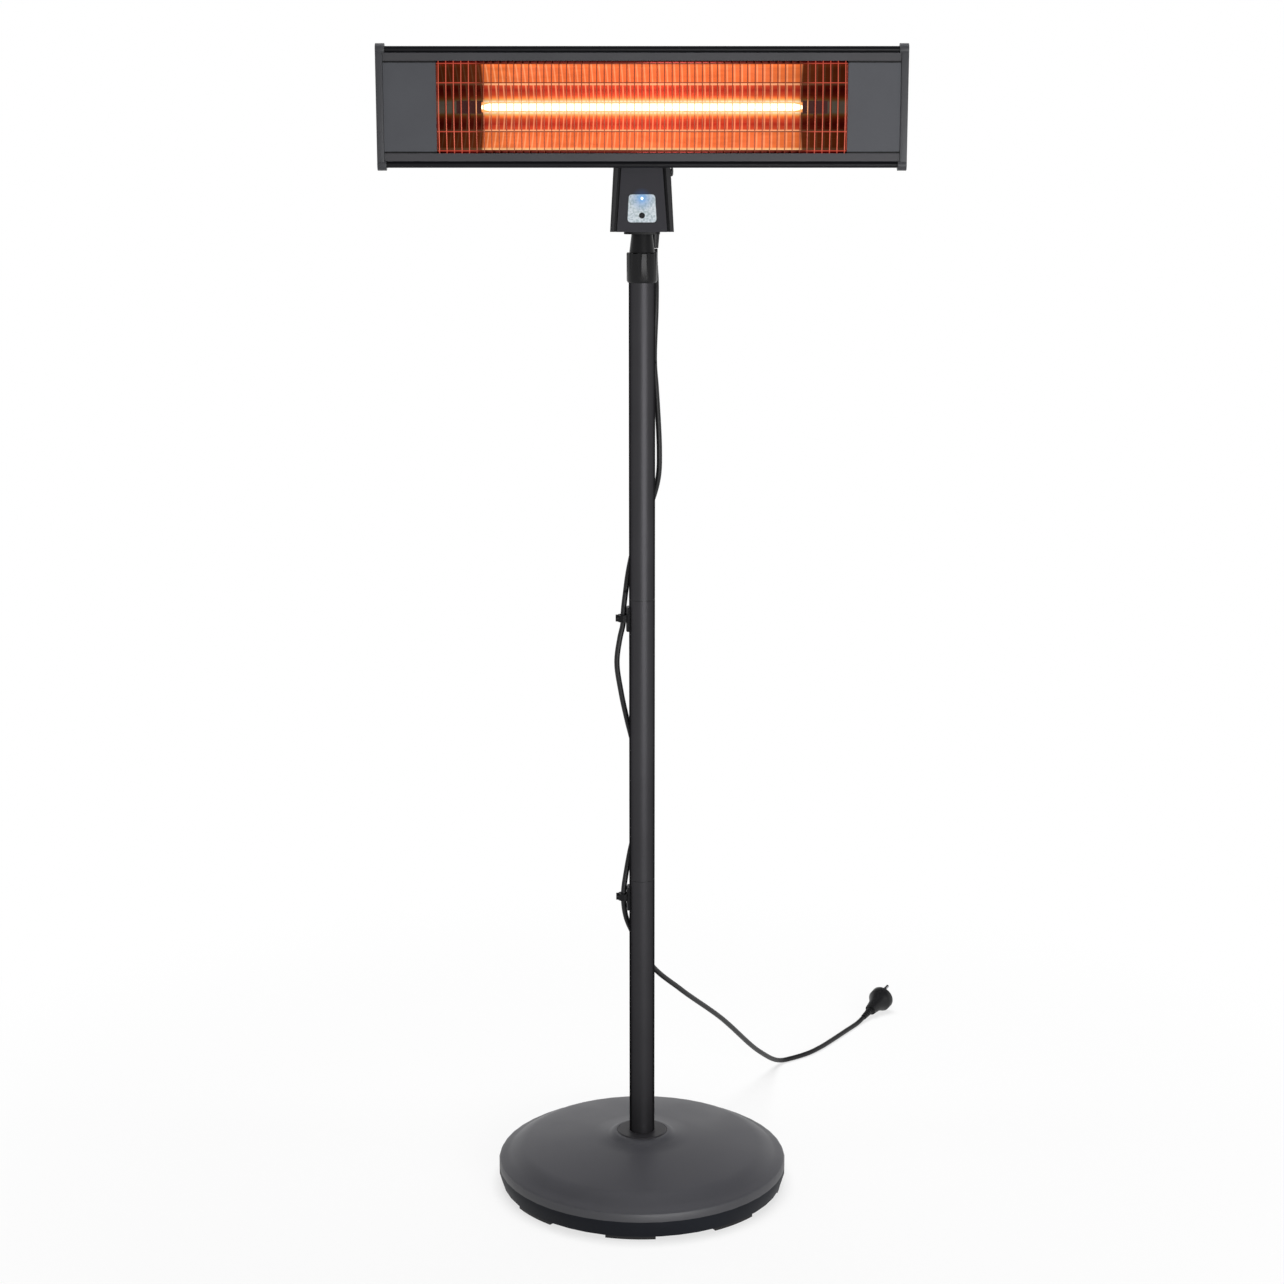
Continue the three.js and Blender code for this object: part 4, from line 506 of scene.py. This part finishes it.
def make_reflector_material():
    """Polished metal with the lamp's reflection painted on as its own glow: a bright line behind
    the tube, red on both sides of it, orange towards the mouth and dark past the tube's ends."""
    material, tree, shader = new_material("polished_reflector")
    along, _, up = coordinates(tree)
    foot = HEAD_MIDDLE.z - MOUTH
    height = calc(tree, "DIVIDE", calc(tree, "SUBTRACT", up, foot), 2 * MOUTH)
    bands = ramp(tree, height, GLOW)
    outward = off_centre(tree, up, HEAD_MIDDLE.z, MOUTH)
    bend = calc(tree, "MULTIPLY", calc(tree, "MULTIPLY", outward, outward), STREAK_BEND)
    phase = calc(tree, "ADD", calc(tree, "MULTIPLY", along, 2 * math.pi / STREAK_PITCH), bend)
    wave = levels(tree, calc(tree, "COSINE", phase), 1, 0, -1, 1)
    crest = calc(tree, "POWER", wave, STREAK_SHARPNESS)
    glow = blend_colours(tree, calc(tree, "MULTIPLY", crest, STREAK_SHARE), bands, STREAK)
    lit = ramp(tree, off_centre(tree, along, 0, LIT_HALF), LIT_ALONG)
    uneven = levels(tree, object_noise(tree, 30, 3, (1, 3, 3)), 0.85, 1.12)
    inside = calc(tree, "LESS_THAN", outward, 1)
    feed(tree, shader.inputs["Emission Color"], glow)
    shine = calc(tree, "MULTIPLY", calc(tree, "MULTIPLY", uneven, lit), inside)
    feed(tree, shader.inputs["Emission Strength"], shine)
    shader.inputs["Metallic"].default_value = 1
    shader.inputs["Base Color"].default_value = (0.16, 0.022, 0.018, 1)
    fine = object_noise(tree, 60, 3, (1, 8, 8))
    feed(tree, shader.inputs["Roughness"], levels(tree, fine, 0.16, 0.28))
    add_bump(tree, shader, fine, 0.1 * MM, 0.4)
    return material


def make_wire_material():
    """Steel wires: dull red-brown under a painted glow that stands in for the lamp's light,
    pale where the tube shines past them and bright where its light strikes them from the side."""
    material, tree, shader = new_material("wire_painted_glow")
    along, _, up = coordinates(tree)
    outward = off_centre(tree, up, HEAD_MIDDLE.z, MOUTH)
    shine = ramp(tree, outward, [
        (0.0, (1.0, 0.6, 0.25)),
        (0.13, (1.0, 0.5, 0.18)),
        (0.2, (0.3, 0.05, 0.015)),
        (0.5, (0.1, 0.012, 0.005)),
    ])
    beyond = levels(tree, off_centre(tree, along, 0, LIT_HALF), 0, 1, 0.78, 0.84)
    side_lit = blend_colours(tree, beyond, shine, (0.5, 0.065, 0.04))
    # painted light: the lamp's light on the wires, as their own glow
    feed(tree, shader.inputs["Emission Color"], side_lit)
    shader.inputs["Emission Strength"].default_value = 0.8
    shader.inputs["Metallic"].default_value = 1
    shader.inputs["Base Color"].default_value = (0.2, 0.07, 0.045, 1)
    fine = object_noise(tree, 700, 3)
    feed(tree, shader.inputs["Roughness"], levels(tree, fine, 0.3, 0.42))
    add_bump(tree, shader, fine, 0.03 * MM)
    return material


def make_glass_material():
    material, tree, shader = new_material("quartz")
    shader.inputs["Base Color"].default_value = (1, 0.9, 0.8, 1)
    shader.inputs["Transmission Weight"].default_value = 1
    shader.inputs["IOR"].default_value = 1.3
    shader.inputs["Emission Color"].default_value = (1, 0.35, 0.1, 1)
    shader.inputs["Emission Strength"].default_value = 0.3
    fine = object_noise(tree, 40, 2)
    feed(tree, shader.inputs["Roughness"], levels(tree, fine, 0.02, 0.08))
    return material


LED_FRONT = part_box("led_lens")[0].y
LED_AT = (0, LED_FRONT, box_middle("led_lens").z)
LED_GLOW_REACH = 17 * MM  # how far the LED's painted glow reaches on the plate
LED_SPILL = 13 * MM  # how far its painted glow reaches on the box's cover


def make_plate_material():
    """A silver film with a fine speckle, with the LED's blue light painted on round it as colour and
    glow.
    """
    material, tree, shader = new_material("silver_plate")
    speckle = object_noise(tree, 420, 4)
    film = ramp(tree, speckle, [
        (0.36, (0.38, 0.47, 0.5)),
        (0.48, (0.56, 0.63, 0.68)),
        (0.6, (0.68, 0.74, 0.78)),
    ])
    # painted light: the LED's blue glow on the plate, strongest next to it
    painted_led_glow = ramp(tree, distance_from(tree, LED_AT, LED_GLOW_REACH), [
        (0.08, (1, 1, 1)),
        (0.35, (0.6, 0.6, 0.6)),
        (0.95, (0, 0, 0)),
    ])
    blue = blend_colours(tree, painted_led_glow, film, (0.15, 0.33, 0.6))
    feed(tree, shader.inputs["Base Color"], blue)
    shader.inputs["Emission Color"].default_value = (0.05, 0.3, 0.8, 1)
    feed(tree, shader.inputs["Emission Strength"], levels(tree, painted_led_glow, 0, 0.25, 0.4, 1))
    shader.inputs["Metallic"].default_value = 0.2
    feed(tree, shader.inputs["Roughness"], levels(tree, speckle, 0.38, 0.5))
    add_bump(tree, shader, speckle, 0.05 * MM)
    return material


def make_box_material():
    """Spark-eroded plastic with a little of the LED's blue light painted on as a glow above the
    plate.
    """
    material, tree, shader = new_material("box_plastic")
    slow = slow_drift(tree)
    colour = two_tones(tree, slow, (0.04, 0.039, 0.046), 0.08)
    coat(tree, shader, colour, levels(tree, slow, 0.46, 0.54), 0.16, 2600, 0.07 * MM)
    near = distance_from(tree, LED_AT, LED_SPILL)
    # painted light: the LED's blue glow on the cover
    spill = ramp(tree, near, [(0.1, (1, 1, 1)), (1.0, (0, 0, 0))])
    shader.inputs["Emission Color"].default_value = (0.01, 0.09, 0.3, 1)
    feed(tree, shader.inputs["Emission Strength"], calc(tree, "MULTIPLY", spill, 0.4))
    return material


GROOVE_BOTTOM = 34.6 * MM  # from the middle of the box's foot to the outer side of a groove
GROOVE_LEAN = 0.074  # how far a groove leans in for each metre up
GROOVE_SHADE_BLACK = (0.004, 0.004, 0.005)


def make_shell_material():
    """The box's rear shell, with painted black shade in the two grooves beside the front cover."""
    material, tree, shader = new_material("shell_plastic")
    slow = slow_drift(tree)
    across, _, up = coordinates(tree)
    rise = calc(tree, "SUBTRACT", up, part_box("box_rear_shell")[0].z)
    lean = calc(tree, "MULTIPLY", rise, GROOVE_LEAN)
    edge = calc(tree, "ADD", calc(tree, "ABSOLUTE", across), lean)
    # painted shade: black where the grooves beside the front cover lie in shade
    groove = calc(tree, "LESS_THAN", edge, GROOVE_BOTTOM)
    plain = two_tones(tree, slow, (0.042, 0.0416, 0.044), 0.08)
    colour = blend_colours(tree, groove, plain, GROOVE_SHADE_BLACK)
    coat(tree, shader, colour, levels(tree, slow, 0.44, 0.52), 0.12, 2600, 0.07 * MM)
    return material


FOOT_SHARE = 0.7  # how much of the pole's tone is left at its foot under a painted shade
FOOT_DARK_TO = 0.1  # the heights between which it comes back, in metres
FOOT_LIGHT_FROM = 0.6


def make_pole_paint():
    """Satin metallic paint without a sheen at its edges, and a painted shade that darkens its foot.
    """
    material, tree, shader = new_material("pole_paint")
    slow = slow_drift(tree)
    _, _, up = coordinates(tree)
    tone = two_tones(tree, slow, (0.052, 0.051, 0.055), 0.05)
    # painted shade: darker towards the foot
    share = levels(tree, up, FOOT_SHARE, 1, FOOT_DARK_TO, FOOT_LIGHT_FROM)
    colour = blend_colours(tree, share, (0, 0, 0), tone)
    shader.inputs["Metallic"].default_value = 0.6
    shader.inputs["Specular Tint"].default_value = (0, 0, 0, 1)
    coat(tree, shader, colour, levels(tree, slow, 0.38, 0.43), 0, 2600, 0.02 * MM)
    return material


def make_panel_material():
    """Painted face, with the tabs that reach behind the lips left in black shade."""
    material, tree, shader = new_material("face_panel")
    slow = slow_drift(tree)
    _, back, _ = coordinates(tree)
    shade = calc(tree, "GREATER_THAN", back, HEAD_FRONT + TAB_BACK)
    plain = two_tones(tree, slow, (0.114, 0.118, 0.131), 0.05)
    colour = blend_colours(tree, shade, plain, TAB_BLACK)
    coat(tree, shader, colour, levels(tree, slow, 0.46, 0.54), 0.2, 1500, 0.06 * MM)
    return material


FINISHES = {
    "pole_paint": make_pole_paint(),
    "base_paint": coated("base_paint", (0.054, 0.054, 0.061), 0.44, 2200, 0.03 * MM, 0.04),
    "cast_weight": coated("cast_weight", (0.06, 0.06, 0.06), 0.8, 500, 0.5 * MM, 0.3, 0.4),
    "black_plastic": coated(
        "black_plastic", (0.009, 0.009, 0.01), 0.36, 3200, 0.02 * MM, specular=0.14
    ),
    "box_plastic": make_box_material(),
    "rubber": coated("rubber", (0.01, 0.01, 0.011), 0.45, 1800, 0.03 * MM, specular=0.3),
    "anodised_housing": make_housing_material(),
    "face_panel": make_panel_material(),
    "black_steel": coated("black_steel", (0.02, 0.02, 0.022), 0.36, 900, 0.04 * MM, 0.2, 0.5),
    "bright_steel": coated("bright_steel", (0.4, 0.4, 0.42), 0.3, 700, 0.03 * MM, 0.15, 1.0),
    "polished_reflector": make_reflector_material(),
    "quartz": make_glass_material(),
    "glowing_filament": glowing("glowing_filament", (1, 0.95, 0.8), 1.6),
    # dark red tone: painted light, standing in for the lamp's orange light on the ceramic
    "ceramic": coated("ceramic", (0.06, 0.014, 0.011), 0.6, 900, 0.05 * MM, specular=0.2),
    "silver_plate": make_plate_material(),
    "blue_lens": glowing("blue_lens", (0.75, 0.93, 1.0), 1.4),
    "circuit_board": coated("circuit_board", (0.02, 0.12, 0.05), 0.4, 1200, 0.03 * MM),
}
LAMP_LIT_WIRE = make_wire_material()

# finishes of single nodes that differ from the rest of their slot
OWN_FINISHES = {
    "lock_nut": coated(
        "nut_plastic", (0.01, 0.01, 0.011), 0.27, 3200, 0.02 * MM, specular=0.19
    ),
    "base_tray": coated(
        "tray_plastic", (0.012, 0.0135, 0.018), 0.5, 900, 0.05 * MM, specular=0.1
    ),
    "hub_flange": coated(
        "hub_paint", (0.03, 0.029, 0.032), 0.45, 2200, 0.04 * MM, 0.06, specular=0.3
    ),
    "end_cap": coated(
        "cap_plastic", (0.075, 0.076, 0.083), 0.36, 2400, 0.03 * MM, 0.06, specular=0.2
    ),
    "box_rear_shell": make_shell_material(),
    "lamp_holder": coated(
        "holder_steel", (0.09, 0.02, 0.014), 0.4, 700, 0.04 * MM, 0.2, 0.8
    ),
}

slot_of = {part["node"]: part["material_slot"] for part in frame["record"]["subparts"]}


def paint(piece, finish):
    piece.data.materials.clear()
    piece.data.materials.append(FINISHES[finish] if isinstance(finish, str) else finish)


def finish_of(node_name):
    for start, material in OWN_FINISHES.items():
        if node_name.startswith(start):
            return material
    return FINISHES[slot_of[node_name]]


for node_name, node in nodes.items():
    for material_slot in node.material_slots:
        material_slot.material = finish_of(node_name)
for cord, _ in cords:
    paint(cord, "rubber")


# ---------------------------------------------------------------- smooth CAD nodes

WELD_DISTANCE = 0.002 * MM
ROUNDING_STEPS = 3
ROUNDING_ANGLE = 40


def make_smoothing():
    """A node group that welds a part's facets and shades it smooth up to an angle."""
    group = bpy.data.node_groups.new("smooth_by_angle", "GeometryNodeTree")
    group.interface.new_socket("Geometry", in_out="INPUT", socket_type="NodeSocketGeometry")
    group.interface.new_socket("Angle", in_out="INPUT", socket_type="NodeSocketFloat")
    group.interface.new_socket("Geometry", in_out="OUTPUT", socket_type="NodeSocketGeometry")
    start = group.nodes.new("NodeGroupInput")
    end = group.nodes.new("NodeGroupOutput")
    plain = group.nodes.new("GeometryNodeRemoveAttribute")
    plain.inputs["Name"].default_value = "custom_normal"
    weld = group.nodes.new("GeometryNodeMergeByDistance")
    weld.inputs["Distance"].default_value = WELD_DISTANCE
    faces = group.nodes.new("GeometryNodeSetShadeSmooth")
    faces.domain = "FACE"
    edges = group.nodes.new("GeometryNodeSetShadeSmooth")
    edges.domain = "EDGE"
    edges.inputs["Shade Smooth"].default_value = False
    angle = group.nodes.new("GeometryNodeInputMeshEdgeAngle")
    sharp = group.nodes.new("FunctionNodeCompare")
    sharp.operation = "GREATER_THAN"
    link = group.links.new
    link(start.outputs["Geometry"], plain.inputs["Geometry"])
    link(plain.outputs["Geometry"], weld.inputs["Geometry"])
    link(weld.outputs["Geometry"], faces.inputs["Geometry"])
    link(faces.outputs["Geometry"], edges.inputs["Geometry"])
    link(angle.outputs["Unsigned Angle"], sharp.inputs["A"])
    link(start.outputs["Angle"], sharp.inputs["B"])
    link(sharp.outputs["Result"], edges.inputs["Selection"])
    link(edges.outputs["Geometry"], end.inputs["Geometry"])
    return group


smoothing = make_smoothing()

ROUNDED = {"end_cap": 1.1 * MM, "box_rear_shell": 0.5 * MM}  # the width of the rounded edges


def round_edges(node, width):
    weld = node.modifiers.new("weld", "WELD")
    weld.merge_threshold = WELD_DISTANCE
    bevel = node.modifiers.new("round", "BEVEL")
    bevel.width = width
    bevel.segments = ROUNDING_STEPS
    bevel.limit_method = "ANGLE"
    bevel.angle_limit = math.radians(ROUNDING_ANGLE)
    bevel.use_clamp_overlap = True


def smooth(node, angle=33):
    modifier = node.modifiers.new("smooth", "NODES")
    modifier.node_group = smoothing
    socket = next(
        item for item in smoothing.interface.items_tree if item.name == "Angle"
    ).identifier
    modifier[socket] = math.radians(angle)


for node_name, node in nodes.items():
    for start, width in ROUNDED.items():
        if node_name.startswith(start):
            round_edges(node, width)
    smooth(node)


# ---------------------------------------------------------------- grille

WIRE_RADIUS = 0.62 * MM
WIRE_COUNT = 55
WIRE_SIDES = 8
WIRE_BOW = 5 * MM
WIRE_STEPS = 14
WIRE_BACK = 0.9 * MM  # from the back of the grille's box to the middle of an upright wire
WIRE_SIDE_INSET = 2.4 * MM
LONG_WIRE_INSET = 6 * MM  # from the grille's edge to an outer long wire
LONG_WIRE_UP = 28.5 * MM  # from its middle to an inner long wire
LONG_WIRE_BEHIND = 1.2  # how far behind the upright wires they lie, in radii


def make_grille():
    """Upright wires that bow towards the front over four long wires."""
    low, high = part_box("head_grille")
    middle = (low.z + high.z) / 2
    back = high.y - WIRE_BACK
    half_height = (high.z - low.z) / 2
    edge_up = half_height - LONG_WIRE_INSET
    half_width = high.x - WIRE_SIDE_INSET

    def bowed(up):
        share = min(abs(up) / edge_up, 1)
        return back - WIRE_BOW * (1 - share**2)

    parts = []
    for i in range(WIRE_COUNT):
        x = -half_width + 2 * half_width * i / (WIRE_COUNT - 1)
        ups = [half_height * (2 * k / WIRE_STEPS - 1) for k in range(WIRE_STEPS + 1)]
        points = [Vector((x, bowed(up), middle + up)) for up in ups]
        parts.append(sweep(points, WIRE_RADIUS, WIRE_SIDES))
    for up in (-edge_up, -LONG_WIRE_UP, LONG_WIRE_UP, edge_up):
        y = bowed(up) + LONG_WIRE_BEHIND * WIRE_RADIUS
        points = [Vector((x, y, middle + up)) for x in (low.x, high.x)]
        parts.append(sweep(points, WIRE_RADIUS, WIRE_SIDES))
    grille = join_pieces("grille_wires", parts)
    paint(grille, LAMP_LIT_WIRE)
    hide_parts("head_grille")
    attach(grille, "head")


make_grille()


# ---------------------------------------------------------------- reflector and lamp

SHEET = 1 * MM
REFLECTOR_STEPS = 36
CORE_SHARE = 0.74  # of the lamp tube's radius
CORE_TIP_SHARE = 0.35  # of the core's own radius
CORE_TIP = 0.5 * MM
CORE_TAPER = 12 * MM
CORE_SHORTER = 10 * MM  # than the lamp tube
CORE_SIDES = 20


def make_reflector():
    """A thin parabolic trough with a plate at each end."""
    low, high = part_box("reflector")
    middle = (low.z + high.z) / 2
    depth = high.y - low.y - SHEET

    def back_of(up):
        return low.y + depth * (1 - (up / MOUTH) ** 2)

    flange = (high.z - low.z) / 2
    ups = [MOUTH * (2 * k / REFLECTOR_STEPS - 1) for k in range(REFLECTOR_STEPS + 1)]
    section = [(low.y, -flange)] + [(back_of(up), up) for up in ups] + [(low.y, flange)]
    verts, faces = [], []
    for x in (low.x, high.x):
        verts += [Vector((x, y, middle + up)) for y, up in section]
    count = len(section)
    for i in range(count - 1):
        faces.append((i, i + 1, i + 1 + count, i + count))
    inner = range(1, count - 1)
    trough = add_mesh("reflector_trough", verts, faces)
    sharpen(trough, 40)
    ends = []
    for start, step in ((0, 1), (count, -1)):
        loop = [start + i for i in inner][::step]
        ends.append(tuple(loop))
    plates = add_mesh("reflector_ends", verts, ends, smooth=False)
    for piece in (trough, plates):
        solid = piece.modifiers.new("sheet", "SOLIDIFY")
        solid.thickness = SHEET
        solid.offset = 0
        paint(piece, "polished_reflector")
        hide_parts("reflector")
        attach(piece, "head")


def make_lamp_core():
    """The glowing strip's light fills the tube, so it is a rod with tapered ends."""
    low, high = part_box("lamp_tube")
    y = (low.y + high.y) / 2
    z = (low.z + high.z) / 2
    radius = CORE_SHARE * (high.z - low.z) / 2
    tip = radius * CORE_TIP_SHARE
    length = high.x - low.x - CORE_SHORTER
    profile = [(0, 0), (tip, CORE_TIP), (radius, CORE_TAPER)]
    profile += [(radius, length - CORE_TAPER), (tip, length - CORE_TIP), (0, length)]
    place = Matrix.Translation((-length / 2, y, z)) @ Matrix.Rotation(math.pi / 2, 4, "Y")
    core = turned("lamp_core", profile, CORE_SIDES, place)
    paint(core, "glowing_filament")
    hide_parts("lamp_filament")
    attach(core, "head")


make_reflector()
make_lamp_core()


# ---------------------------------------------------------------- plug

PLUG_HEADING = 57
PLUG_RADIUS = 18.5 * MM
PLUG_RIM = 54 * MM  # from the tail to the rim that the plug rests on
PLUG_FACE = 66 * MM
PLUG_BOOT = 22 * MM
PLUG_GAP = 0.6 * MM
FLOOR_LIFT = 0.3 * MM
PLUG_PIN_RADIUS = 2.4 * MM
PLUG_PIN_LENGTH = 19 * MM
PLUG_PIN_SPACING = 19 * MM
PLUG_SIDES = 40
PIN_SIDES = 16
PIN_TIP = 1.2 * MM
SLEEVE_SHARE = 0.92  # of a pin's radius
PIN_TIP_SHARE = 0.55
BOOT_RIBS = 5
BOOT_TAIL = 4.2 * MM
BOOT_RADIUS = 4.3 * MM
BOOT_SWELL = 1.3 * MM  # how much wider it gets over the boot's length
RIB_START = 0.2  # of the way from one rib to the next
RIB_WIDTH = 2.4 * MM
RIB_FOOT = 2.9 * MM
RIB_END = 4 * MM
RIB_DEPTH = 0.9 * MM

# radius and height past the boot, then radius and height short of the face, in millimetres
PLUG_BODY = [(8.4, 1), (9, 5), (10.6, 16), (13.2, 23), (17, 29.5), (18.3, 31.5)]
PLUG_EDGE = [(18.4, 2.2), (17.6, 0.6), (16.4, 0)]


def plug_place(end):
    """The plug lies on the rim of its face end, its tail at the end of the cord."""
    raised = PLUG_TAIL_UP * MM - FLOOR_LIFT
    tilt = math.atan2(PLUG_RADIUS, PLUG_RIM) - math.asin(raised / math.hypot(PLUG_RADIUS, PLUG_RIM))
    turn = Matrix.Rotation(math.radians(PLUG_HEADING), 4, "Z")
    turn = turn @ Matrix.Rotation(math.pi / 2 - tilt, 4, "Y")
    return Matrix.Translation(end + turn @ Vector((0, 0, PLUG_GAP))) @ turn


def make_plug(end):
    """A round two-pin plug with a ribbed boot; z runs from the boot to the pins."""
    place = plug_place(end)
    profile = [(0, 0), (BOOT_TAIL, 0)]
    for i in range(BOOT_RIBS):
        z = PLUG_BOOT * (i + RIB_START) / BOOT_RIBS
        rib = BOOT_RADIUS + BOOT_SWELL * i / BOOT_RIBS
        valley = rib - RIB_DEPTH
        profile += [(rib, z), (rib, z + RIB_WIDTH), (valley, z + RIB_FOOT), (valley, z + RIB_END)]
    profile += [(radius * MM, PLUG_BOOT + past * MM) for radius, past in PLUG_BODY]
    profile += [(radius * MM, PLUG_FACE - short * MM) for radius, short in PLUG_EDGE]
    profile.append((0, PLUG_FACE))
    body = turned("plug_body", profile, PLUG_SIDES, place, 40)
    paint(body, "rubber")
    pieces = [body]
    radius = PLUG_PIN_RADIUS
    bare = PLUG_PIN_LENGTH * 0.5
    tip = PLUG_PIN_LENGTH - PIN_TIP
    cover = radius * SLEEVE_SHARE
    for side, word in ((-1, "upper"), (1, "lower")):
        at = place @ Matrix.Translation((side * PLUG_PIN_SPACING / 2, 0, PLUG_FACE))
        sleeve = [(0, -MM), (cover, -MM), (cover, bare), (0, bare)]
        pin = [
            (0, bare),
            (radius, bare),
            (radius, tip),
            (radius * PIN_TIP_SHARE, PLUG_PIN_LENGTH),
            (0, PLUG_PIN_LENGTH),
        ]
        for kind, section, finish in (("sleeve", sleeve, "rubber"), ("pin", pin, "bright_steel")):
            piece = turned(f"plug_{kind}_{word}", section, PIN_SIDES, at)
            paint(piece, finish)
            pieces.append(piece)
    for piece in pieces:
        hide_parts("power_plug")
        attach(piece, "stand")
    return pieces


def declare_cords(plug):
    """Bakes the upper two lengths of the cord in place and attaches the lowest to the stand."""
    upper, middle, lower = cords
    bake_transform(upper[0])
    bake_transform(middle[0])
    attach(lower[0], "stand")


declare_cords(make_plug(cords[-1][1][-1]))


# ---------------------------------------------------------------- floor, world and lights

FLOOR_HALF = 8
FADE_START = 0.5  # how far from the pole the floor starts to turn white, in metres
FADE_END = 1.3
FADE_LEAST = 0.7  # how much of the white stays under the heater
FLOOR_BOUNCE = 0.3  # the floor's colour for the light that it throws on the heater


def seen_straight(tree, path):
    """1 for camera and transmission rays, else 0."""
    rays = path.outputs
    return calc(tree, "MAXIMUM", rays["Is Camera Ray"], rays["Is Transmission Ray"])


def seen_directly(tree):
    """1 for camera, transmission and glossy rays, else 0."""
    path = tree.nodes.new("ShaderNodeLightPath")
    return calc(tree, "MAXIMUM", seen_straight(tree, path), path.outputs["Is Glossy Ray"])


def make_floor():
    """Pale under the heater, where its shadow shows, and white further out."""
    corners = [(-1, -1), (1, -1), (1, 1), (-1, 1)]
    verts = [(x * FLOOR_HALF, y * FLOOR_HALF, 0) for x, y in corners]
    floor = add_mesh("floor", verts, [(0, 1, 2, 3)])
    material, tree, shader = new_material("floor")
    direct = seen_directly(tree)
    dull = (FLOOR_BOUNCE, FLOOR_BOUNCE, FLOOR_BOUNCE)
    feed(tree, shader.inputs["Base Color"], blend_colours(tree, direct, dull, (0.9, 0.9, 0.9)))
    shader.inputs["Roughness"].default_value = 0.9
    shader.inputs["Specular IOR Level"].default_value = 0.1
    white = tree.nodes.new("ShaderNodeEmission")
    white.inputs["Strength"].default_value = 1
    place = tree.nodes.new("ShaderNodeTexCoord")
    reach = tree.nodes.new("ShaderNodeVectorMath")
    reach.operation = "LENGTH"
    fade = tree.nodes.new("ShaderNodeMapRange")
    fade.interpolation_type = "SMOOTHSTEP"
    fade.inputs["From Min"].default_value = FADE_START
    fade.inputs["From Max"].default_value = FADE_END
    fade.inputs["To Min"].default_value = FADE_LEAST
    mix = tree.nodes.new("ShaderNodeMixShader")
    link = tree.links.new
    link(place.outputs["Object"], reach.inputs[0])
    link(reach.outputs["Value"], fade.inputs["Value"])
    link(calc(tree, "MULTIPLY", fade.outputs["Result"], direct), mix.inputs["Fac"])
    link(shader.outputs["BSDF"], mix.inputs[1])
    link(white.outputs["Emission"], mix.inputs[2])
    link(mix.outputs["Shader"], tree.nodes["Material Output"].inputs["Surface"])
    floor.data.materials.append(material)


AMBIENT = 0.06
WALL_TOP = (0.36, 0.66)  # the sines of the heights where the white wall starts to end and ends

# name, place, size, watts, whether it shows in gloss
LIGHTS = [
    ("front", (0.95, -2.7, 0.64), (2.0, 1.2), 47, True),
    ("left", (-2.6, -0.8, 1.8), (0.8, 2.0), 5, False),
    ("right", (2.6, -0.6, 1.8), (0.8, 2.0), 6, False),
    ("top", (0, 0.7, 3.4), (2.4, 2.4), 122, False),
]


def make_world():
    """White for the camera; in gloss and glass a white wall that ends in a dim ceiling."""
    world = bpy.data.worlds.new("world")
    world.use_nodes = True
    bpy.context.scene.world = world
    tree = world.node_tree
    background = tree.nodes["Background"]
    background.inputs["Color"].default_value = (1, 1, 1, 1)
    path = tree.nodes.new("ShaderNodeLightPath")
    _, _, up = coordinates(tree, "Generated")
    wall = levels(tree, up, 1, AMBIENT, *WALL_TOP)
    around = levels(tree, path.outputs["Is Glossy Ray"], AMBIENT, wall, 0, 1)
    straight = seen_straight(tree, path)
    feed(tree, background.inputs["Strength"], levels(tree, straight, around, 1, 0, 1))


LIGHT_TARGET = Vector((0, 0, 0.7))


def make_lights():
    for name, place, size, power, in_gloss in LIGHTS:
        data = bpy.data.lights.new(name, "AREA")
        data.shape = "RECTANGLE"
        data.size, data.size_y = size
        data.energy = power
        light = bpy.data.objects.new(name, data)
        light.location = place
        light.visible_camera = False
        light.visible_glossy = in_gloss
        light.rotation_euler = (LIGHT_TARGET - Vector(place)).to_track_quat("-Z", "Y").to_euler()
        bpy.context.scene.collection.objects.link(light)


make_floor()
make_world()
make_lights()

bpy.context.scene.view_settings.view_transform = "Standard"

bpy.context.view_layer.update()
